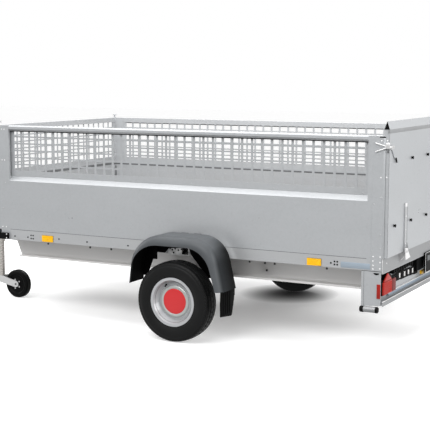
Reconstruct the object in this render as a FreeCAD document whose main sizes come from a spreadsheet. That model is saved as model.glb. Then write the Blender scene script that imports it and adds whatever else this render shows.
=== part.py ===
import FreeCAD, Part
import Sketcher
import os

# Single-axle utility trailer with a steel box, punched grilles, a drop tailgate
# and a jockey wheel on its V drawbar.
#
# Millimetres, +X forward, +Y to the left, +Z up from the ground. Everything is
# drawn about the wheel axis, X = 0. Each piece then has one Placement that puts
# the middle of the trailer's length at the origin.

document = FreeCAD.newDocument("utility_trailer")
sheet = document.addObject("Spreadsheet::Sheet", "Sizes")

SIZES = [
    # load space
    ("inner_length", 3010, "front wall to tailgate, inside"),
    ("inner_width", 1530, "between the side walls"),
    ("wall_depth", 40, "thickness of a side wall and of a post"),
    ("end_wall_depth", 38, "thickness of the front wall and tailgate"),
    ("axle_setback", 120, "middle of the box ahead of the wheel axis"),
    ("floor_thickness", 12, "plywood deck"),
    ("lower_wall_height", 399, "solid part of a side wall"),
    ("lip_depth", 35, "how far the lip of the lower wall slopes in"),
    ("lip_rise", 34, "height of that slope"),
    ("side_height", 776, "deck level to the top of the sides"),
    ("post_width", 100, "rear corner post along the side"),
    ("front_post_width", 85, "front corner post along the side"),
    ("post_sheet", 3, "post wall"),
    ("top_rail_height", 38, "profile along the top of a grille"),
    ("top_rail_bevel", 8, "its outer top edge"),
    ("top_rail_undercut", 13, "its outer lower edge, folded in to the grille"),
    ("peg_radius", 7, "peg on top of the front wall's ends"),
    ("peg_height", 20, "stem of the peg"),
    ("peg_head", 16, "radius of the peg's head"),
    ("peg_head_height", 9, "the same"),
    # grilles
    ("grille_sheet", 3.5, "overall thickness of a grille"),
    ("strip_thickness", 1.5, "one layer of strips in a grille"),
    ("grille_setback", 3, "grille behind the inner face of its wall"),
    ("column_pitch", 73.4, "hole to hole along a grille"),
    ("hole_width", 56, "grille hole"),
    ("row_pitch", 51.4, "hole to hole up a grille"),
    ("hole_height", 40, "grille hole"),
    ("grille_border", 10, "least sheet beside the holes"),
    # frame
    ("rail_bottom", 563, "underside of the outer frame above the ground"),
    ("rail_height", 76, "outer frame channel"),
    ("rail_sheet", 3, "wall of the outer frame channel"),
    ("member_inset", 165, "long member inside the outer face of the sides"),
    ("member_height", 151, "long member under the frame"),
    ("member_sheet", 4, "wall of a long member"),
    ("member_flange", 50, "top flange of a long member, inwards"),
    ("member_foot", 30, "bottom flange of a long member, outwards"),
    ("member_lip", 14, "upturned edge of the bottom flange"),
    ("member_slant", 60, "how far the front end of a long member slopes"),
    ("member_tail", 85, "long member ends this far inside the rear"),
    ("crossmember_width", 50, "crossmember along the trailer"),
    ("crossmembers", 5, "from the front to the rear of the deck"),
    ("crossmember_inset", 500, "last crossmember from the rear end"),
    ("sill_drop", 14, "rear sill plate below the frame"),
    ("sill_rise", 4, "rear sill plate above the frame"),
    ("sill_plate", 8, "rear sill plate thickness"),
    # drawbar and coupling
    ("drawbar_height", 100, "drawbar arm"),
    ("drawbar_width", 50, "drawbar arm, across"),
    ("drawbar_rear", 1000, "rear end of an arm ahead of the wheel axis"),
    ("drawbar_rear_inset", 120, "arm's middle line there, inside the long member"),
    ("drawbar_short", 140, "front end of an arm behind the ball centre"),
    ("drawbar_sheet", 5, "drawbar arm's wall"),
    ("drawbar_front_spread", 45, "arm's middle line there"),
    ("nose_plate_length", 210, "plate under the arms' front ends"),
    ("nose_plate_thickness", 8, "the same"),
    ("coupling_reach", 2930, "ball centre ahead of the wheel axis"),
    ("coupling_width", 60, "coupling shank"),
    ("coupling_height", 68, "coupling shank"),
    ("coupling_shank", 300, "shank behind the ball centre"),
    ("ball_bore", 25.4, "radius of the ball socket"),
    ("ball_depth", 24, "straight part of the socket below the ball centre"),
    ("coupling_head", 43, "outer radius of the coupling head"),
    ("handle_length", 130, "coupling handle"),
    ("handle_root", 15, "half the handle's root along the trailer"),
    ("handle_neck", 16, "height of its root"),
    ("handle_rise", 84, "its free end above the head"),
    ("handle_tip", 16, "depth of its free end"),
    ("handle_round", 6, "its rounded edges"),
    ("overcut", 1, "how far a cut or a lapped piece runs past an edge"),
    # axle and wheels
    ("seat_gap", 0.3, "rubber to the steel or plastic that it sits on"),
    ("tyre_gap", 95.5, "side wall to tyre"),
    ("tyre_radius", 275, "tyre"),
    ("tyre_width", 155, "tyre"),
    ("rim_radius", 167, "rim flange"),
    ("rim_width", 128, "over the rim flanges"),
    ("rim_sheet", 4, "rim wall"),
    ("bead_radius", 153, "where the tyre sits"),
    ("drop_radius", 131, "drop centre of the rim"),
    ("disc_offset", 26, "wheel disc outside the wheel's middle plane"),
    ("cap_radius", 109, "round cover on the wheel disc"),
    ("cap_thickness", 5, "the same"),
    ("cap_edge", 5, "sloping edge of that cover"),
    ("beam_size", 80, "square axle beam"),
    ("arm_trail", 140, "axle beam ahead of the wheel axis"),
    ("arm_to_tyre", 40, "swing arm inside the tyre"),
    ("arm_thickness", 34, "swing arm"),
    ("arm_radius", 38, "rounded ends of the swing arm"),
    ("hub_radius", 58, "hub"),
    ("hub_gap", 12, "swing arm to hub"),
    ("hub_end", 4, "closed outer end of the hub"),
    ("spindle_end", 12, "stub axle stops this far inside the wheel disc"),
    ("spindle_radius", 16, "stub axle"),
    ("spindle_clearance", 0.1, "stub axle in the hub"),
    # fenders
    ("fender_gap", 45, "side wall to fender"),
    ("fender_margin", 14.5, "outer face of a fender outside the tyre"),
    ("fender_front", 348, "front edge ahead of the wheel axis"),
    ("fender_rear", 383, "rear edge behind the wheel axis"),
    ("fender_bottom", 375, "lower edges above the ground"),
    ("fender_top", 720, "crown above the ground"),
    ("fender_front_lean", 42, "front leg leans back"),
    ("fender_rear_lean", 79, "rear leg leans forward"),
    ("fender_front_round", 240, "radius at the front of the crown"),
    ("fender_rear_round", 200, "radius at the rear of the crown"),
    ("fender_shoulder", 60, "rounding of the outer top edge"),
    ("fender_sheet", 4, "fender wall"),
    ("arch_top", 656, "wheel cut-out above the ground"),
    ("arch_front", 336, "cut-out's front foot ahead of the wheel axis"),
    ("arch_rear", 338, "cut-out's rear foot behind the wheel axis"),
    ("arch_front_lean", 34, "cut-out's front edge leans back"),
    ("arch_rear_lean", 78, "cut-out's rear edge leans forward"),
    ("arch_front_round", 225, "cut-out's front corner"),
    ("arch_rear_round", 188, "cut-out's rear corner"),
    ("flap_height", 160, "mud flap below the fender"),
    ("flap_lap", 45, "mud flap inside the fender"),
    ("flap_thickness", 6, "mud flap"),
    ("flap_side_gap", 10, "mud flap inside the fender's outer face"),
    ("flap_inset", 6, "mud flap to the fender's inner edge"),
    ("bracket_width", 50, "fender bracket"),
    ("bracket_spread", 50, "fender brackets each side of the crown's middle"),
    ("bracket_reach", 110, "fender bracket under the crown"),
    ("bracket_sheet", 4, "fender bracket"),
    # tailgate
    ("tailgate_rise", 90, "tailgate above the sides"),
    ("ridge_height", 50, "three-sided profile along its top"),
    ("ridge_groove", 24, "recess under that profile"),
    ("ridge_groove_depth", 12, "the same"),
    ("tailgate_gap", 3, "tailgate to the posts"),
    ("tailgate_sill_gap", 7, "tailgate to the rear sill"),
    ("cap_plate", 2, "end caps of the tailgate's top profile"),
    ("hinge_spread", 474, "hinges from the middle"),
    ("hinge_back", 12, "hinge pin behind the tailgate"),
    ("hinge_pin", 5, "radius of the hinge pin"),
    ("hinge_clearance", 0.1, "pin in the strap"),
    ("strap_width", 52, "hinge strap"),
    ("strap_plate", 6, "hinge strap, thickness"),
    ("strap_cheek", 45, "cheeks rise this far up the strap"),
    ("strap_depth", 18, "cheeks of a hinge strap, behind the tailgate"),
    ("strap_height", 290, "hinge strap"),
    ("strap_lift", 25, "hinge strap above the tailgate's lower edge"),
    ("strap_ear", 6, "ear of a hinge strap"),
    ("ear_round", 10, "ear beyond the hinge pin"),
    ("tongue_drop", 60, "hinge tongue below the pin"),
    ("tongue_foot", 8, "thickness of its lower end"),
    ("tongue_nose", 6, "tongue behind the hinge pin"),
    ("tongue_play", 1, "gap between the tongue and each ear"),
    # rear carrier and lamps
    ("carrier_top", 549, "light carrier"),
    ("carrier_bottom", 342, "light carrier"),
    ("carrier_depth", 60, "light carrier, front to rear"),
    ("carrier_sheet", 3, "light carrier"),
    ("carrier_lip", 16, "upturned rear edge of the light carrier"),
    ("carrier_side_length", 140, "side plate of the light carrier"),
    ("carrier_side_setback", 2, "its rear edge ahead of the rear sill's plate"),
    ("carrier_side_drop", 9, "side plate below the carrier at its front"),
    ("lamp_inset", 5, "outer end of a tail lamp inside the carrier's side"),
    ("lamp_width", 240, "tail lamp"),
    ("lamp_bottom", 405, "tail lamp above the ground"),
    ("lamp_height", 95, "tail lamp without its triangle"),
    ("lamp_triangle", 43, "triangular reflector above it"),
    ("lamp_triangle_half", 75, "half the base of that triangle"),
    ("lamp_depth", 54, "tail lamp"),
    ("plate_width", 520, "number plate base"),
    ("plate_side", 35, "its left edge right of the middle"),
    ("plate_height", 140, "number plate base"),
    ("plate_base", 12, "number plate base, thickness"),
    ("roller_radius", 19, "tube under the light carrier's corner"),
    ("roller_length", 108, "the same"),
    ("roller_inset", 24, "its middle line inside the side plate"),
    ("reflector_length", 94, "amber side reflector"),
    ("reflector_height", 44, "the same"),
    ("reflector_thickness", 6, "the same"),
    ("reflector_front", 1197, "front reflector ahead of the wheel axis"),
    ("reflector_rear", 928, "rear reflector behind the wheel axis"),
    ("marker_length", 150, "front marker lamp"),
    ("marker_height", 46, "the same"),
    ("marker_depth", 22, "the same"),
    ("marker_ahead", 40, "how far it reaches ahead of the box"),
    # latches
    ("latch_height", 68, "latch below the top of the sides"),
    ("latch_reach", 90, "latch bail along the post"),
    ("latch_spread", 52, "latch bail's feet"),
    ("latch_wire", 5, "latch bail"),
    ("latch_clearance", 5, "latch bail off the post"),
    ("latch_hook", 12, "latch hook behind the tailgate"),
    ("latch_block", 18, "height of the latch block"),
    ("lever_length", 110, "latch lever"),
    ("lever_width", 24, "latch lever"),
    ("lever_sheet", 4, "latch lever"),
    # jockey wheel
    ("jockey_ahead", 2034, "jockey tube ahead of the wheel axis"),
    ("jockey_offset", 38.5, "jockey tube's middle line outside its arm"),
    ("jockey_trail", 166, "jockey wheel behind its tube"),
    ("jockey_radius", 113, "jockey wheel"),
    ("jockey_width", 60, "jockey wheel"),
    ("jockey_gap", 3, "jockey wheel to its fork"),
    ("fork_plate", 5, "fork side plate"),
    ("fork_width", 50, "fork side plate"),
    ("fork_rise", 44, "fork's upper end above the wheel's centre"),
    ("fork_collar", 28, "height of the fork's head"),
    ("fork_neck", 18, "fork plate below its head"),
    ("fork_pin", 8, "radius of the jockey wheel's axle"),
    ("slide_clearance", 0.1, "inner tube in the outer tube"),
    ("swivel_gap", 0.3, "fork's head to the tube above it"),
    ("outer_tube_lid", 6, "closed top of the outer tube"),
    ("inner_tube", 24, "radius of the inner tube"),
    ("inner_tube_length", 480, "inner tube"),
    ("inner_tube_wall", 3, "wall of the inner tube"),
    ("inner_tube_floor", 6, "floor of the inner tube"),
    ("outer_tube", 30, "radius of the outer tube"),
    ("outer_tube_bottom", 447, "lower end of the outer tube"),
    ("outer_tube_length", 420, "outer tube"),
    ("clamp_ring", 36, "outer radius of the clamp"),
    ("clamp_height", 62, "clamp"),
    ("clamp_length", 60, "clamp block along the drawbar"),
    ("crank_length", 105, "jockey crank"),
    ("crank_rod", 6, "radius of the crank rod"),
    ("crank_boss", 26, "height of the cap that the crank turns in"),
    ("crank_grip", 90, "upright grip of the crank"),
]

for row, (alias, number, meaning) in enumerate(SIZES, start=1):
    sheet.set(f"A{row}", meaning)
    sheet.set(f"B{row}", str(number))
    sheet.setAlias(f"B{row}", alias)
document.recompute()


def size(alias):
    return f"Sizes.{alias}"


def value(expression):
    return float(sheet.evalExpression(expression))


# Places that several pieces share, as expressions on the sheet.
WALL_IN = "(Sizes.inner_width / 2)"
WALL_OUT = f"({WALL_IN} + Sizes.wall_depth)"
FRONT_IN = "(Sizes.axle_setback + Sizes.inner_length / 2)"
FRONT_OUT = f"({FRONT_IN} + Sizes.end_wall_depth)"
REAR_IN = "(Sizes.axle_setback - Sizes.inner_length / 2)"
REAR_OUT = f"({REAR_IN} - Sizes.end_wall_depth)"
POST_FRONT = f"({FRONT_IN} - Sizes.front_post_width)"
POST_REAR = f"({REAR_IN} + Sizes.post_width)"
RAIL_BOTTOM = "Sizes.rail_bottom"
DECK_UNDER = "(Sizes.rail_bottom + Sizes.rail_height)"
DECK_TOP = f"({DECK_UNDER} + Sizes.floor_thickness)"
LOWER_TOP = f"({DECK_UNDER} + Sizes.lower_wall_height)"
SIDE_TOP = f"({DECK_UNDER} + Sizes.side_height)"
RAIL_UNDER = f"({SIDE_TOP} - Sizes.top_rail_height)"
MEMBER_BOTTOM = "(Sizes.rail_bottom - Sizes.member_height)"
SILL_BACK = f"({REAR_IN} - Sizes.sill_plate)"
TAILGATE_BOTTOM = f"({DECK_UNDER} + Sizes.sill_rise + Sizes.tailgate_sill_gap)"
TAILGATE_TOP = f"({SIDE_TOP} + Sizes.tailgate_rise)"
PIN_X = f"({REAR_OUT} - Sizes.hinge_back)"
PIN_Z = f"({TAILGATE_BOTTOM} - 2)"
WHEEL_Y = f"({WALL_OUT} + Sizes.tyre_gap + Sizes.tyre_width / 2)"
AXLE_Z = "Sizes.tyre_radius"
FENDER_IN = f"({WALL_OUT} + Sizes.fender_gap)"
FENDER_OUT = f"({WHEEL_Y} + Sizes.tyre_width / 2 + Sizes.fender_margin)"
MEMBER_FACE = f"({WALL_OUT} - Sizes.member_inset)"
CARRIER_FRONT = f"({SILL_BACK} + Sizes.carrier_depth)"
REAR_END = f"({REAR_OUT} - Sizes.strap_depth)"
FRONT_END = "(Sizes.coupling_reach + Sizes.coupling_head)"
MIDDLE = f"(({FRONT_END} + {REAR_END}) / 2)"

# For each axis: the origin plane square to it, and which way that plane faces.
PLANES = {"X": ("YZ_Plane", 1), "Y": ("XZ_Plane", -1), "Z": ("XY_Plane", 1)}


def new_body(name):
    body = document.addObject("PartDesign::Body", name)
    body.Label = name
    body.setExpression("Placement.Base.x", f"-{MIDDLE}")
    return body


def origin_feature(body, role):
    return next(item for item in body.Origin.OriginFeatures if item.Role == role)


def sketch_at(body, axis, at, shift=("0", "0")):
    """An empty sketch square to an axis, at that coordinate, with its origin shifted."""
    role, facing = PLANES[axis]
    sketch = body.newObject("Sketcher::SketchObject", body.Name + "_sketch")
    sketch.AttachmentSupport = (origin_feature(body, role), [""])
    sketch.MapMode = "FlatFace"
    sketch.setExpression("AttachmentOffset.Base.x", shift[0])
    sketch.setExpression("AttachmentOffset.Base.y", shift[1])
    sketch.setExpression("AttachmentOffset.Base.z", f"{facing} * ({at})")
    return sketch


def draw(sketch, corners):
    """A closed outline of straight lines whose corners are bound to the sheet."""
    points = [FreeCAD.Vector(value(a), value(b), 0) for a, b in corners]
    first = sketch.GeometryCount
    count = len(points)
    for index, point in enumerate(points):
        sketch.addGeometry(Part.LineSegment(point, points[(index + 1) % count]))
    for index in range(count):
        following = first + (index + 1) % count
        sketch.addConstraint(Sketcher.Constraint("Coincident", first + index, 2, following, 1))
    for index, (corner, point) in enumerate(zip(corners, points)):
        for kind, expression, number in (
            ("DistanceX", corner[0], point.x),
            ("DistanceY", corner[1], point.y),
        ):
            constraint = Sketcher.Constraint(kind, -1, 1, first + index, 1, number)
            place = sketch.addConstraint(constraint)
            sketch.setExpression(f"Constraints[{place}]", expression)


def circle(sketch, across, up, radius):
    """A circle whose centre and radius are bound to the sheet."""
    centre = FreeCAD.Vector(value(across), value(up), 0)
    index = sketch.addGeometry(Part.Circle(centre, FreeCAD.Vector(0, 0, 1), value(radius)))
    for kind, expression, number in (
        ("DistanceX", across, centre.x),
        ("DistanceY", up, centre.y),
    ):
        place = sketch.addConstraint(Sketcher.Constraint(kind, -1, 1, index, 3, number))
        sketch.setExpression(f"Constraints[{place}]", expression)
    place = sketch.addConstraint(Sketcher.Constraint("Radius", index, value(radius)))
    sketch.setExpression(f"Constraints[{place}]", radius)


def pad(body, axis, start, length, corners=None, disc=None):
    """Adds a prism from 'start' on, along the axis."""
    sketch = sketch_at(body, axis, start)
    if corners:
        draw(sketch, corners)
    if disc:
        circle(sketch, *disc)
    feature = body.newObject("PartDesign::Pad", body.Name + "_pad")
    feature.Profile = sketch
    feature.setExpression("Length", length)
    feature.Reversed = PLANES[axis][1] < 0
    document.recompute()
    return feature


def pocket(body, axis, start, length, corners=None, disc=None):
    """Cuts a prism from 'start' on, along the axis, and makes sure that it cuts."""
    before = body.Shape.Volume
    sketch = sketch_at(body, axis, start)
    if corners:
        draw(sketch, corners)
    if disc:
        circle(sketch, *disc)
    feature = body.newObject("PartDesign::Pocket", body.Name + "_pocket")
    feature.Profile = sketch
    feature.setExpression("Length", length)
    feature.Reversed = PLANES[axis][1] > 0
    document.recompute()
    if not body.Shape.Volume < before:
        raise RuntimeError(f"{body.Name}: the pocket cuts nothing")
    return feature


def repeat(body, feature, axis, pitch, count):
    """Repeats a feature in a row along an axis."""
    pattern = body.newObject("PartDesign::LinearPattern", body.Name + "_row")
    pattern.Originals = [feature]
    pattern.Direction = (origin_feature(body, axis + "_Axis"), [""])
    pattern.Mode = "Spacing"
    pattern.setExpression("Offset", pitch)
    pattern.setExpression("Occurrences", count)
    body.Tip = pattern
    document.recompute()
    return pattern


def fillet(body, radius, chosen):
    """Rounds the edges of the body for which chosen(edge) holds."""
    base = body.Tip
    names = [f"Edge{n}" for n, edge in enumerate(base.Shape.Edges, start=1) if chosen(edge)]
    if not names:
        raise RuntimeError(f"{body.Name}: no edge to round")
    feature = body.newObject("PartDesign::Fillet", body.Name + "_round")
    feature.Base = (base, names)
    feature.setExpression("Radius", radius)
    document.recompute()
    return feature


def revolve(body, axis, place, profile):
    """Turns a closed profile of (along, radius) corners about an axis through 'place'."""
    x, y, z = place
    if axis == "Y":
        sketch = sketch_at(body, "X", x, shift=("0", z))
        draw(sketch, [(f"({y}) + ({along})", radius) for along, radius in profile])
        line = "H_Axis"
    elif axis == "X":
        sketch = sketch_at(body, "Y", y, shift=("0", z))
        draw(sketch, [(f"({x}) + ({along})", radius) for along, radius in profile])
        line = "H_Axis"
    else:
        sketch = sketch_at(body, "Y", y, shift=(x, "0"))
        draw(sketch, [(radius, f"({z}) + ({along})") for along, radius in profile])
        line = "V_Axis"
    feature = body.newObject("PartDesign::Revolution", body.Name + "_turned")
    feature.Profile = sketch
    feature.ReferenceAxis = (sketch, [line])
    feature.Angle = 360
    document.recompute()
    return feature


def cut(name, base, tool):
    """A solid less another, checked to have become smaller."""
    result = document.addObject("Part::Cut", name)
    result.Label = name
    result.Base = base
    result.Tool = tool
    document.recompute()
    if not result.Shape.Volume < base.Shape.Volume:
        raise RuntimeError(f"{name}: the cut takes nothing away")
    return result


def prism(name, axis, start, length, corners):
    body = new_body(name)
    pad(body, axis, start, length, corners)
    return body


def rectangle(low_a, low_b, high_a, high_b):
    return [(low_a, low_b), (high_a, low_b), (high_a, high_b), (low_a, high_b)]


def from_middle(side, near, far):
    """Start and length along Y of what reaches from near to far on one side."""
    start = near if side > 0 else f"-({far})"
    return start, f"({far}) - ({near})"


def sided(side, corners):
    """Corners given for the left side, turned over for the right."""
    return [(f"{side} * ({a})", b) for a, b in corners]


def parallel_to(edge, axis):
    """True for a straight edge along an axis."""
    if not isinstance(edge.Curve, Part.Line):
        return False
    direction = edge.tangentAt(edge.FirstParameter)
    return abs(getattr(direction, axis.lower())) > 0.999


SIDES = (("left", 1), ("right", -1))


# Frame


def make_side_rails(name):
    """Outer frame channels, open inwards, between the corner posts."""
    body = new_body(name)
    sheet_in = f"{WALL_OUT} - Sizes.rail_sheet"
    low = f"{RAIL_BOTTOM} + Sizes.rail_sheet"
    high = f"{DECK_UNDER} - Sizes.rail_sheet"
    section = [
        (WALL_OUT, RAIL_BOTTOM), (WALL_OUT, DECK_UNDER), (WALL_IN, DECK_UNDER), (WALL_IN, high),
        (sheet_in, high), (sheet_in, low), (WALL_IN, low), (WALL_IN, RAIL_BOTTOM),
    ]
    for _, side in SIDES:
        pad(body, "X", POST_REAR, f"{POST_FRONT} - {POST_REAR}", sided(side, section))
    return body


def make_chassis_members(name):
    """Long members: a Z section with an upturned foot and a sloping front end."""
    body = new_body(name)
    face = MEMBER_FACE
    wall = f"{face} - Sizes.member_sheet"
    inner = f"{face} - Sizes.member_flange"
    foot = f"{face} + Sizes.member_foot"
    foot_in = f"{foot} - Sizes.member_sheet"
    bottom_in = f"{MEMBER_BOTTOM} + Sizes.member_sheet"
    top_in = f"{RAIL_BOTTOM} - Sizes.member_sheet"
    lip = f"{MEMBER_BOTTOM} + Sizes.member_lip"
    section = [
        (wall, MEMBER_BOTTOM), (foot, MEMBER_BOTTOM), (foot, lip), (foot_in, lip),
        (foot_in, bottom_in), (face, bottom_in), (face, RAIL_BOTTOM), (inner, RAIL_BOTTOM),
        (inner, top_in), (wall, top_in),
    ]
    start = f"({REAR_IN} + Sizes.member_tail)"
    slant = [
        (f"{FRONT_IN} - Sizes.member_slant", MEMBER_BOTTOM),
        (f"{FRONT_IN} + Sizes.member_slant", MEMBER_BOTTOM),
        (f"{FRONT_IN} + Sizes.member_slant", RAIL_BOTTOM),
        (FRONT_IN, RAIL_BOTTOM),
    ]
    for _, side in SIDES:
        pad(body, "X", start, f"{FRONT_IN} - {start}", sided(side, section))
        near, length = from_middle(side, f"{inner} - Sizes.overcut", f"{foot} + Sizes.overcut")
        pocket(body, "Y", near, length, slant)
    return body


def make_crossmembers(name):
    """Channels across under the deck, the first at the front wall, in an even row."""
    wall = size("rail_sheet")
    start = f"({FRONT_IN} - Sizes.crossmember_width)"
    last = f"({REAR_IN} + Sizes.crossmember_inset)"
    body = new_body(name)
    section = [
        (start, RAIL_BOTTOM), (f"{start} + Sizes.crossmember_width", RAIL_BOTTOM),
        (f"{start} + Sizes.crossmember_width", DECK_UNDER), (start, DECK_UNDER),
        (start, f"{DECK_UNDER} - {wall}"),
        (f"{start} + Sizes.crossmember_width - {wall}", f"{DECK_UNDER} - {wall}"),
        (f"{start} + Sizes.crossmember_width - {wall}", f"{RAIL_BOTTOM} + {wall}"),
        (start, f"{RAIL_BOTTOM} + {wall}"),
    ]
    beam = pad(body, "Y", f"-{WALL_IN}", size("inner_width"), section)
    pitch = f"({start} - {last}) / (Sizes.crossmembers - 1)"
    row = repeat(body, beam, "X", pitch, size("crossmembers"))
    row.Reversed = True
    document.recompute()
    return body


def make_rear_sill(name):
    """Rear crossmember with the face plate that the tailgate closes above."""
    body = new_body(name)
    pad(body, "Y", f"-{WALL_OUT}", f"2 * {WALL_OUT}", rectangle(
        SILL_BACK, f"{RAIL_BOTTOM} - Sizes.sill_drop", REAR_IN, f"{DECK_UNDER} + Sizes.sill_rise"))
    wall = size("rail_sheet")
    front = f"{REAR_IN} + Sizes.crossmember_width"
    channel = [
        (REAR_IN, RAIL_BOTTOM), (front, RAIL_BOTTOM), (front, f"{RAIL_BOTTOM} + {wall}"),
        (REAR_IN, f"{RAIL_BOTTOM} + {wall}"),
    ]
    pad(body, "Y", f"-{WALL_IN}", size("inner_width"), channel)
    upper = [
        (REAR_IN, f"{DECK_UNDER} - {wall}"), (front, f"{DECK_UNDER} - {wall}"),
        (front, DECK_UNDER), (REAR_IN, DECK_UNDER),
    ]
    pad(body, "Y", f"-{WALL_IN}", size("inner_width"), upper)
    return body


def make_front_sill(name):
    """Front crossmember under the front wall, open backwards."""
    wall = size("rail_sheet")
    return prism(name, "Y", f"-{WALL_OUT}", f"2 * {WALL_OUT}", [
        (FRONT_OUT, RAIL_BOTTOM), (FRONT_OUT, DECK_UNDER), (FRONT_IN, DECK_UNDER),
        (FRONT_IN, f"{DECK_UNDER} - {wall}"), (f"{FRONT_OUT} - {wall}", f"{DECK_UNDER} - {wall}"),
        (f"{FRONT_OUT} - {wall}", f"{RAIL_BOTTOM} + {wall}"), (FRONT_IN, f"{RAIL_BOTTOM} + {wall}"),
        (FRONT_IN, RAIL_BOTTOM),
    ])


def make_floor(name):
    return prism(name, "Z", DECK_UNDER, size("floor_thickness"),
                 rectangle(REAR_IN, f"-{WALL_IN}", FRONT_IN, WALL_IN))


# Drawbar and coupling

DRAWBAR_FRONT = "(Sizes.coupling_reach - Sizes.drawbar_short)"
DRAWBAR_REAR_SPREAD = f"({MEMBER_FACE} - Sizes.drawbar_rear_inset)"
DRAWBAR_SLOPE = (f"(({DRAWBAR_REAR_SPREAD} - Sizes.drawbar_front_spread)"
                 f" / ({DRAWBAR_FRONT} - Sizes.drawbar_rear))")
DRAWBAR_HALF = f"(Sizes.drawbar_width / 2 * sqrt(1 + {DRAWBAR_SLOPE} ^ 2))"
DRAWBAR_BOTTOM = "(Sizes.rail_bottom - Sizes.drawbar_height)"


def drawbar_line(x):
    """Middle line of the left arm, from the middle of the trailer."""
    return f"({DRAWBAR_REAR_SPREAD} - {DRAWBAR_SLOPE} * (({x}) - Sizes.drawbar_rear))"


def arm_plan(side, inner, outer):
    """Plan of a strip along an arm, between two offsets from the arm's middle line."""
    ends = [size("drawbar_rear"), DRAWBAR_FRONT]
    near = [(x, f"{side} * ({drawbar_line(x)} + ({inner}))") for x in ends]
    far = [(x, f"{side} * ({drawbar_line(x)} + ({outer}))") for x in reversed(ends)]
    return near + far


def make_drawbar_arms(name):
    """The two arms of the V that runs forward from under the deck: channels open inwards."""
    body = new_body(name)
    wall = size("drawbar_sheet")
    web = f"{DRAWBAR_HALF} * (1 - 2 * {wall} / Sizes.drawbar_width)"
    top = f"({RAIL_BOTTOM} - {wall})"
    for _, side in SIDES:
        flange = arm_plan(side, f"-{DRAWBAR_HALF}", DRAWBAR_HALF)
        pad(body, "Z", DRAWBAR_BOTTOM, size("drawbar_height"),
            arm_plan(side, web, DRAWBAR_HALF))
        pad(body, "Z", DRAWBAR_BOTTOM, wall, flange)
        pad(body, "Z", top, wall, flange)
    return body


NOSE_BOTTOM = f"({DRAWBAR_BOTTOM} - Sizes.nose_plate_thickness)"


def make_nose_plate(name):
    """Plate that ties the arms' front ends and carries the coupling below it."""
    front = DRAWBAR_FRONT
    rear = f"({front} - Sizes.nose_plate_length)"
    wide = f"({drawbar_line(rear)} + {DRAWBAR_HALF})"
    narrow = f"({drawbar_line(front)} + {DRAWBAR_HALF})"
    plan = [(rear, f"-{wide}"), (front, f"-{narrow}"), (front, narrow), (rear, wide)]
    return prism(name, "Z", NOSE_BOTTOM, size("nose_plate_thickness"), plan)


BALL_X = size("coupling_reach")
BALL_Z = f"({NOSE_BOTTOM} - Sizes.coupling_height / 2)"


def make_coupling(name):
    """Ball coupling: a shank, a round head and a socket open downwards."""
    body = new_body(name)
    half = "Sizes.coupling_width / 2"
    low = f"({NOSE_BOTTOM} - Sizes.coupling_height)"
    shank = rectangle(f"{BALL_X} - Sizes.coupling_shank", f"-{half}", BALL_X, half)
    pad(body, "Z", low, size("coupling_height"), shank)
    head = size("coupling_head")
    revolve(body, "Z", (BALL_X, "0", BALL_Z), [
        ("-Sizes.ball_depth", "0"), ("-Sizes.ball_depth", head), ("4", head),
        (f"{head} * 0.6", f"{head} * 0.8"), (f"{head} * 0.9", f"{head} * 0.5"),
        (f"{head} * 0.9", "0"),
    ])
    groove = [
        ("-Sizes.ball_depth - Sizes.overcut - Sizes.coupling_height", "0"),
        ("-Sizes.ball_depth - Sizes.overcut - Sizes.coupling_height", size("ball_bore")),
        ("0", size("ball_bore")),
        ("Sizes.ball_bore * 0.7", "Sizes.ball_bore * 0.714"), ("Sizes.ball_bore", "0"),
    ]
    sketch = sketch_at(body, "Y", "0", shift=(BALL_X, "0"))
    draw(sketch, [(radius, f"({BALL_Z}) + ({along})") for along, radius in groove])
    socket = body.newObject("PartDesign::Groove", body.Name + "_socket")
    socket.Profile = sketch
    socket.ReferenceAxis = (sketch, ["V_Axis"])
    socket.Angle = 360
    document.recompute()
    return body


def make_coupling_handle(name):
    """Lever on top of the coupling head."""
    half = "Sizes.coupling_width * 0.25"
    top = f"({BALL_Z} + Sizes.coupling_head * 0.9)"
    tip = f"{BALL_X} - Sizes.handle_length"
    side_view = [
        (f"{BALL_X} - Sizes.handle_root", top), (f"{BALL_X} + Sizes.handle_root", top),
        (f"{BALL_X} + Sizes.handle_root", f"{top} + Sizes.handle_neck"),
        (f"{tip} + Sizes.handle_tip", f"{top} + Sizes.handle_rise"),
        (tip, f"{top} + Sizes.handle_rise"),
        (tip, f"{top} + Sizes.handle_rise - Sizes.handle_tip"),
    ]
    body = prism(name, "Y", f"-{half}", f"2 * {half}", side_view)
    low = value(f"{top} + Sizes.handle_neck / 2")
    fillet(body, size("handle_round"), lambda edge: parallel_to(edge, "Y")
           and edge.CenterOfMass.z > low)
    return body


# Axle, swing arms and wheels

BEAM_Z = f"({MEMBER_BOTTOM} - Sizes.beam_size / 2)"
ARM_IN = f"({WHEEL_Y} - Sizes.tyre_width / 2 - Sizes.arm_to_tyre - Sizes.arm_thickness)"
ARM_OUT = f"({ARM_IN} + Sizes.arm_thickness)"
HUB_IN = f"({ARM_OUT} + Sizes.hub_gap)"
DISC_OUT = f"({WHEEL_Y} + Sizes.disc_offset)"


def make_axle_beam(name):
    half = "Sizes.beam_size / 2"
    body = prism(name, "Y", f"-{ARM_IN}", f"2 * {ARM_IN}", rectangle(
        f"Sizes.arm_trail - {half}", f"{BEAM_Z} - {half}",
        f"Sizes.arm_trail + {half}", f"{BEAM_Z} + {half}"))
    fillet(body, "Sizes.beam_size / 8", lambda edge: parallel_to(edge, "Y"))
    return body


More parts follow.
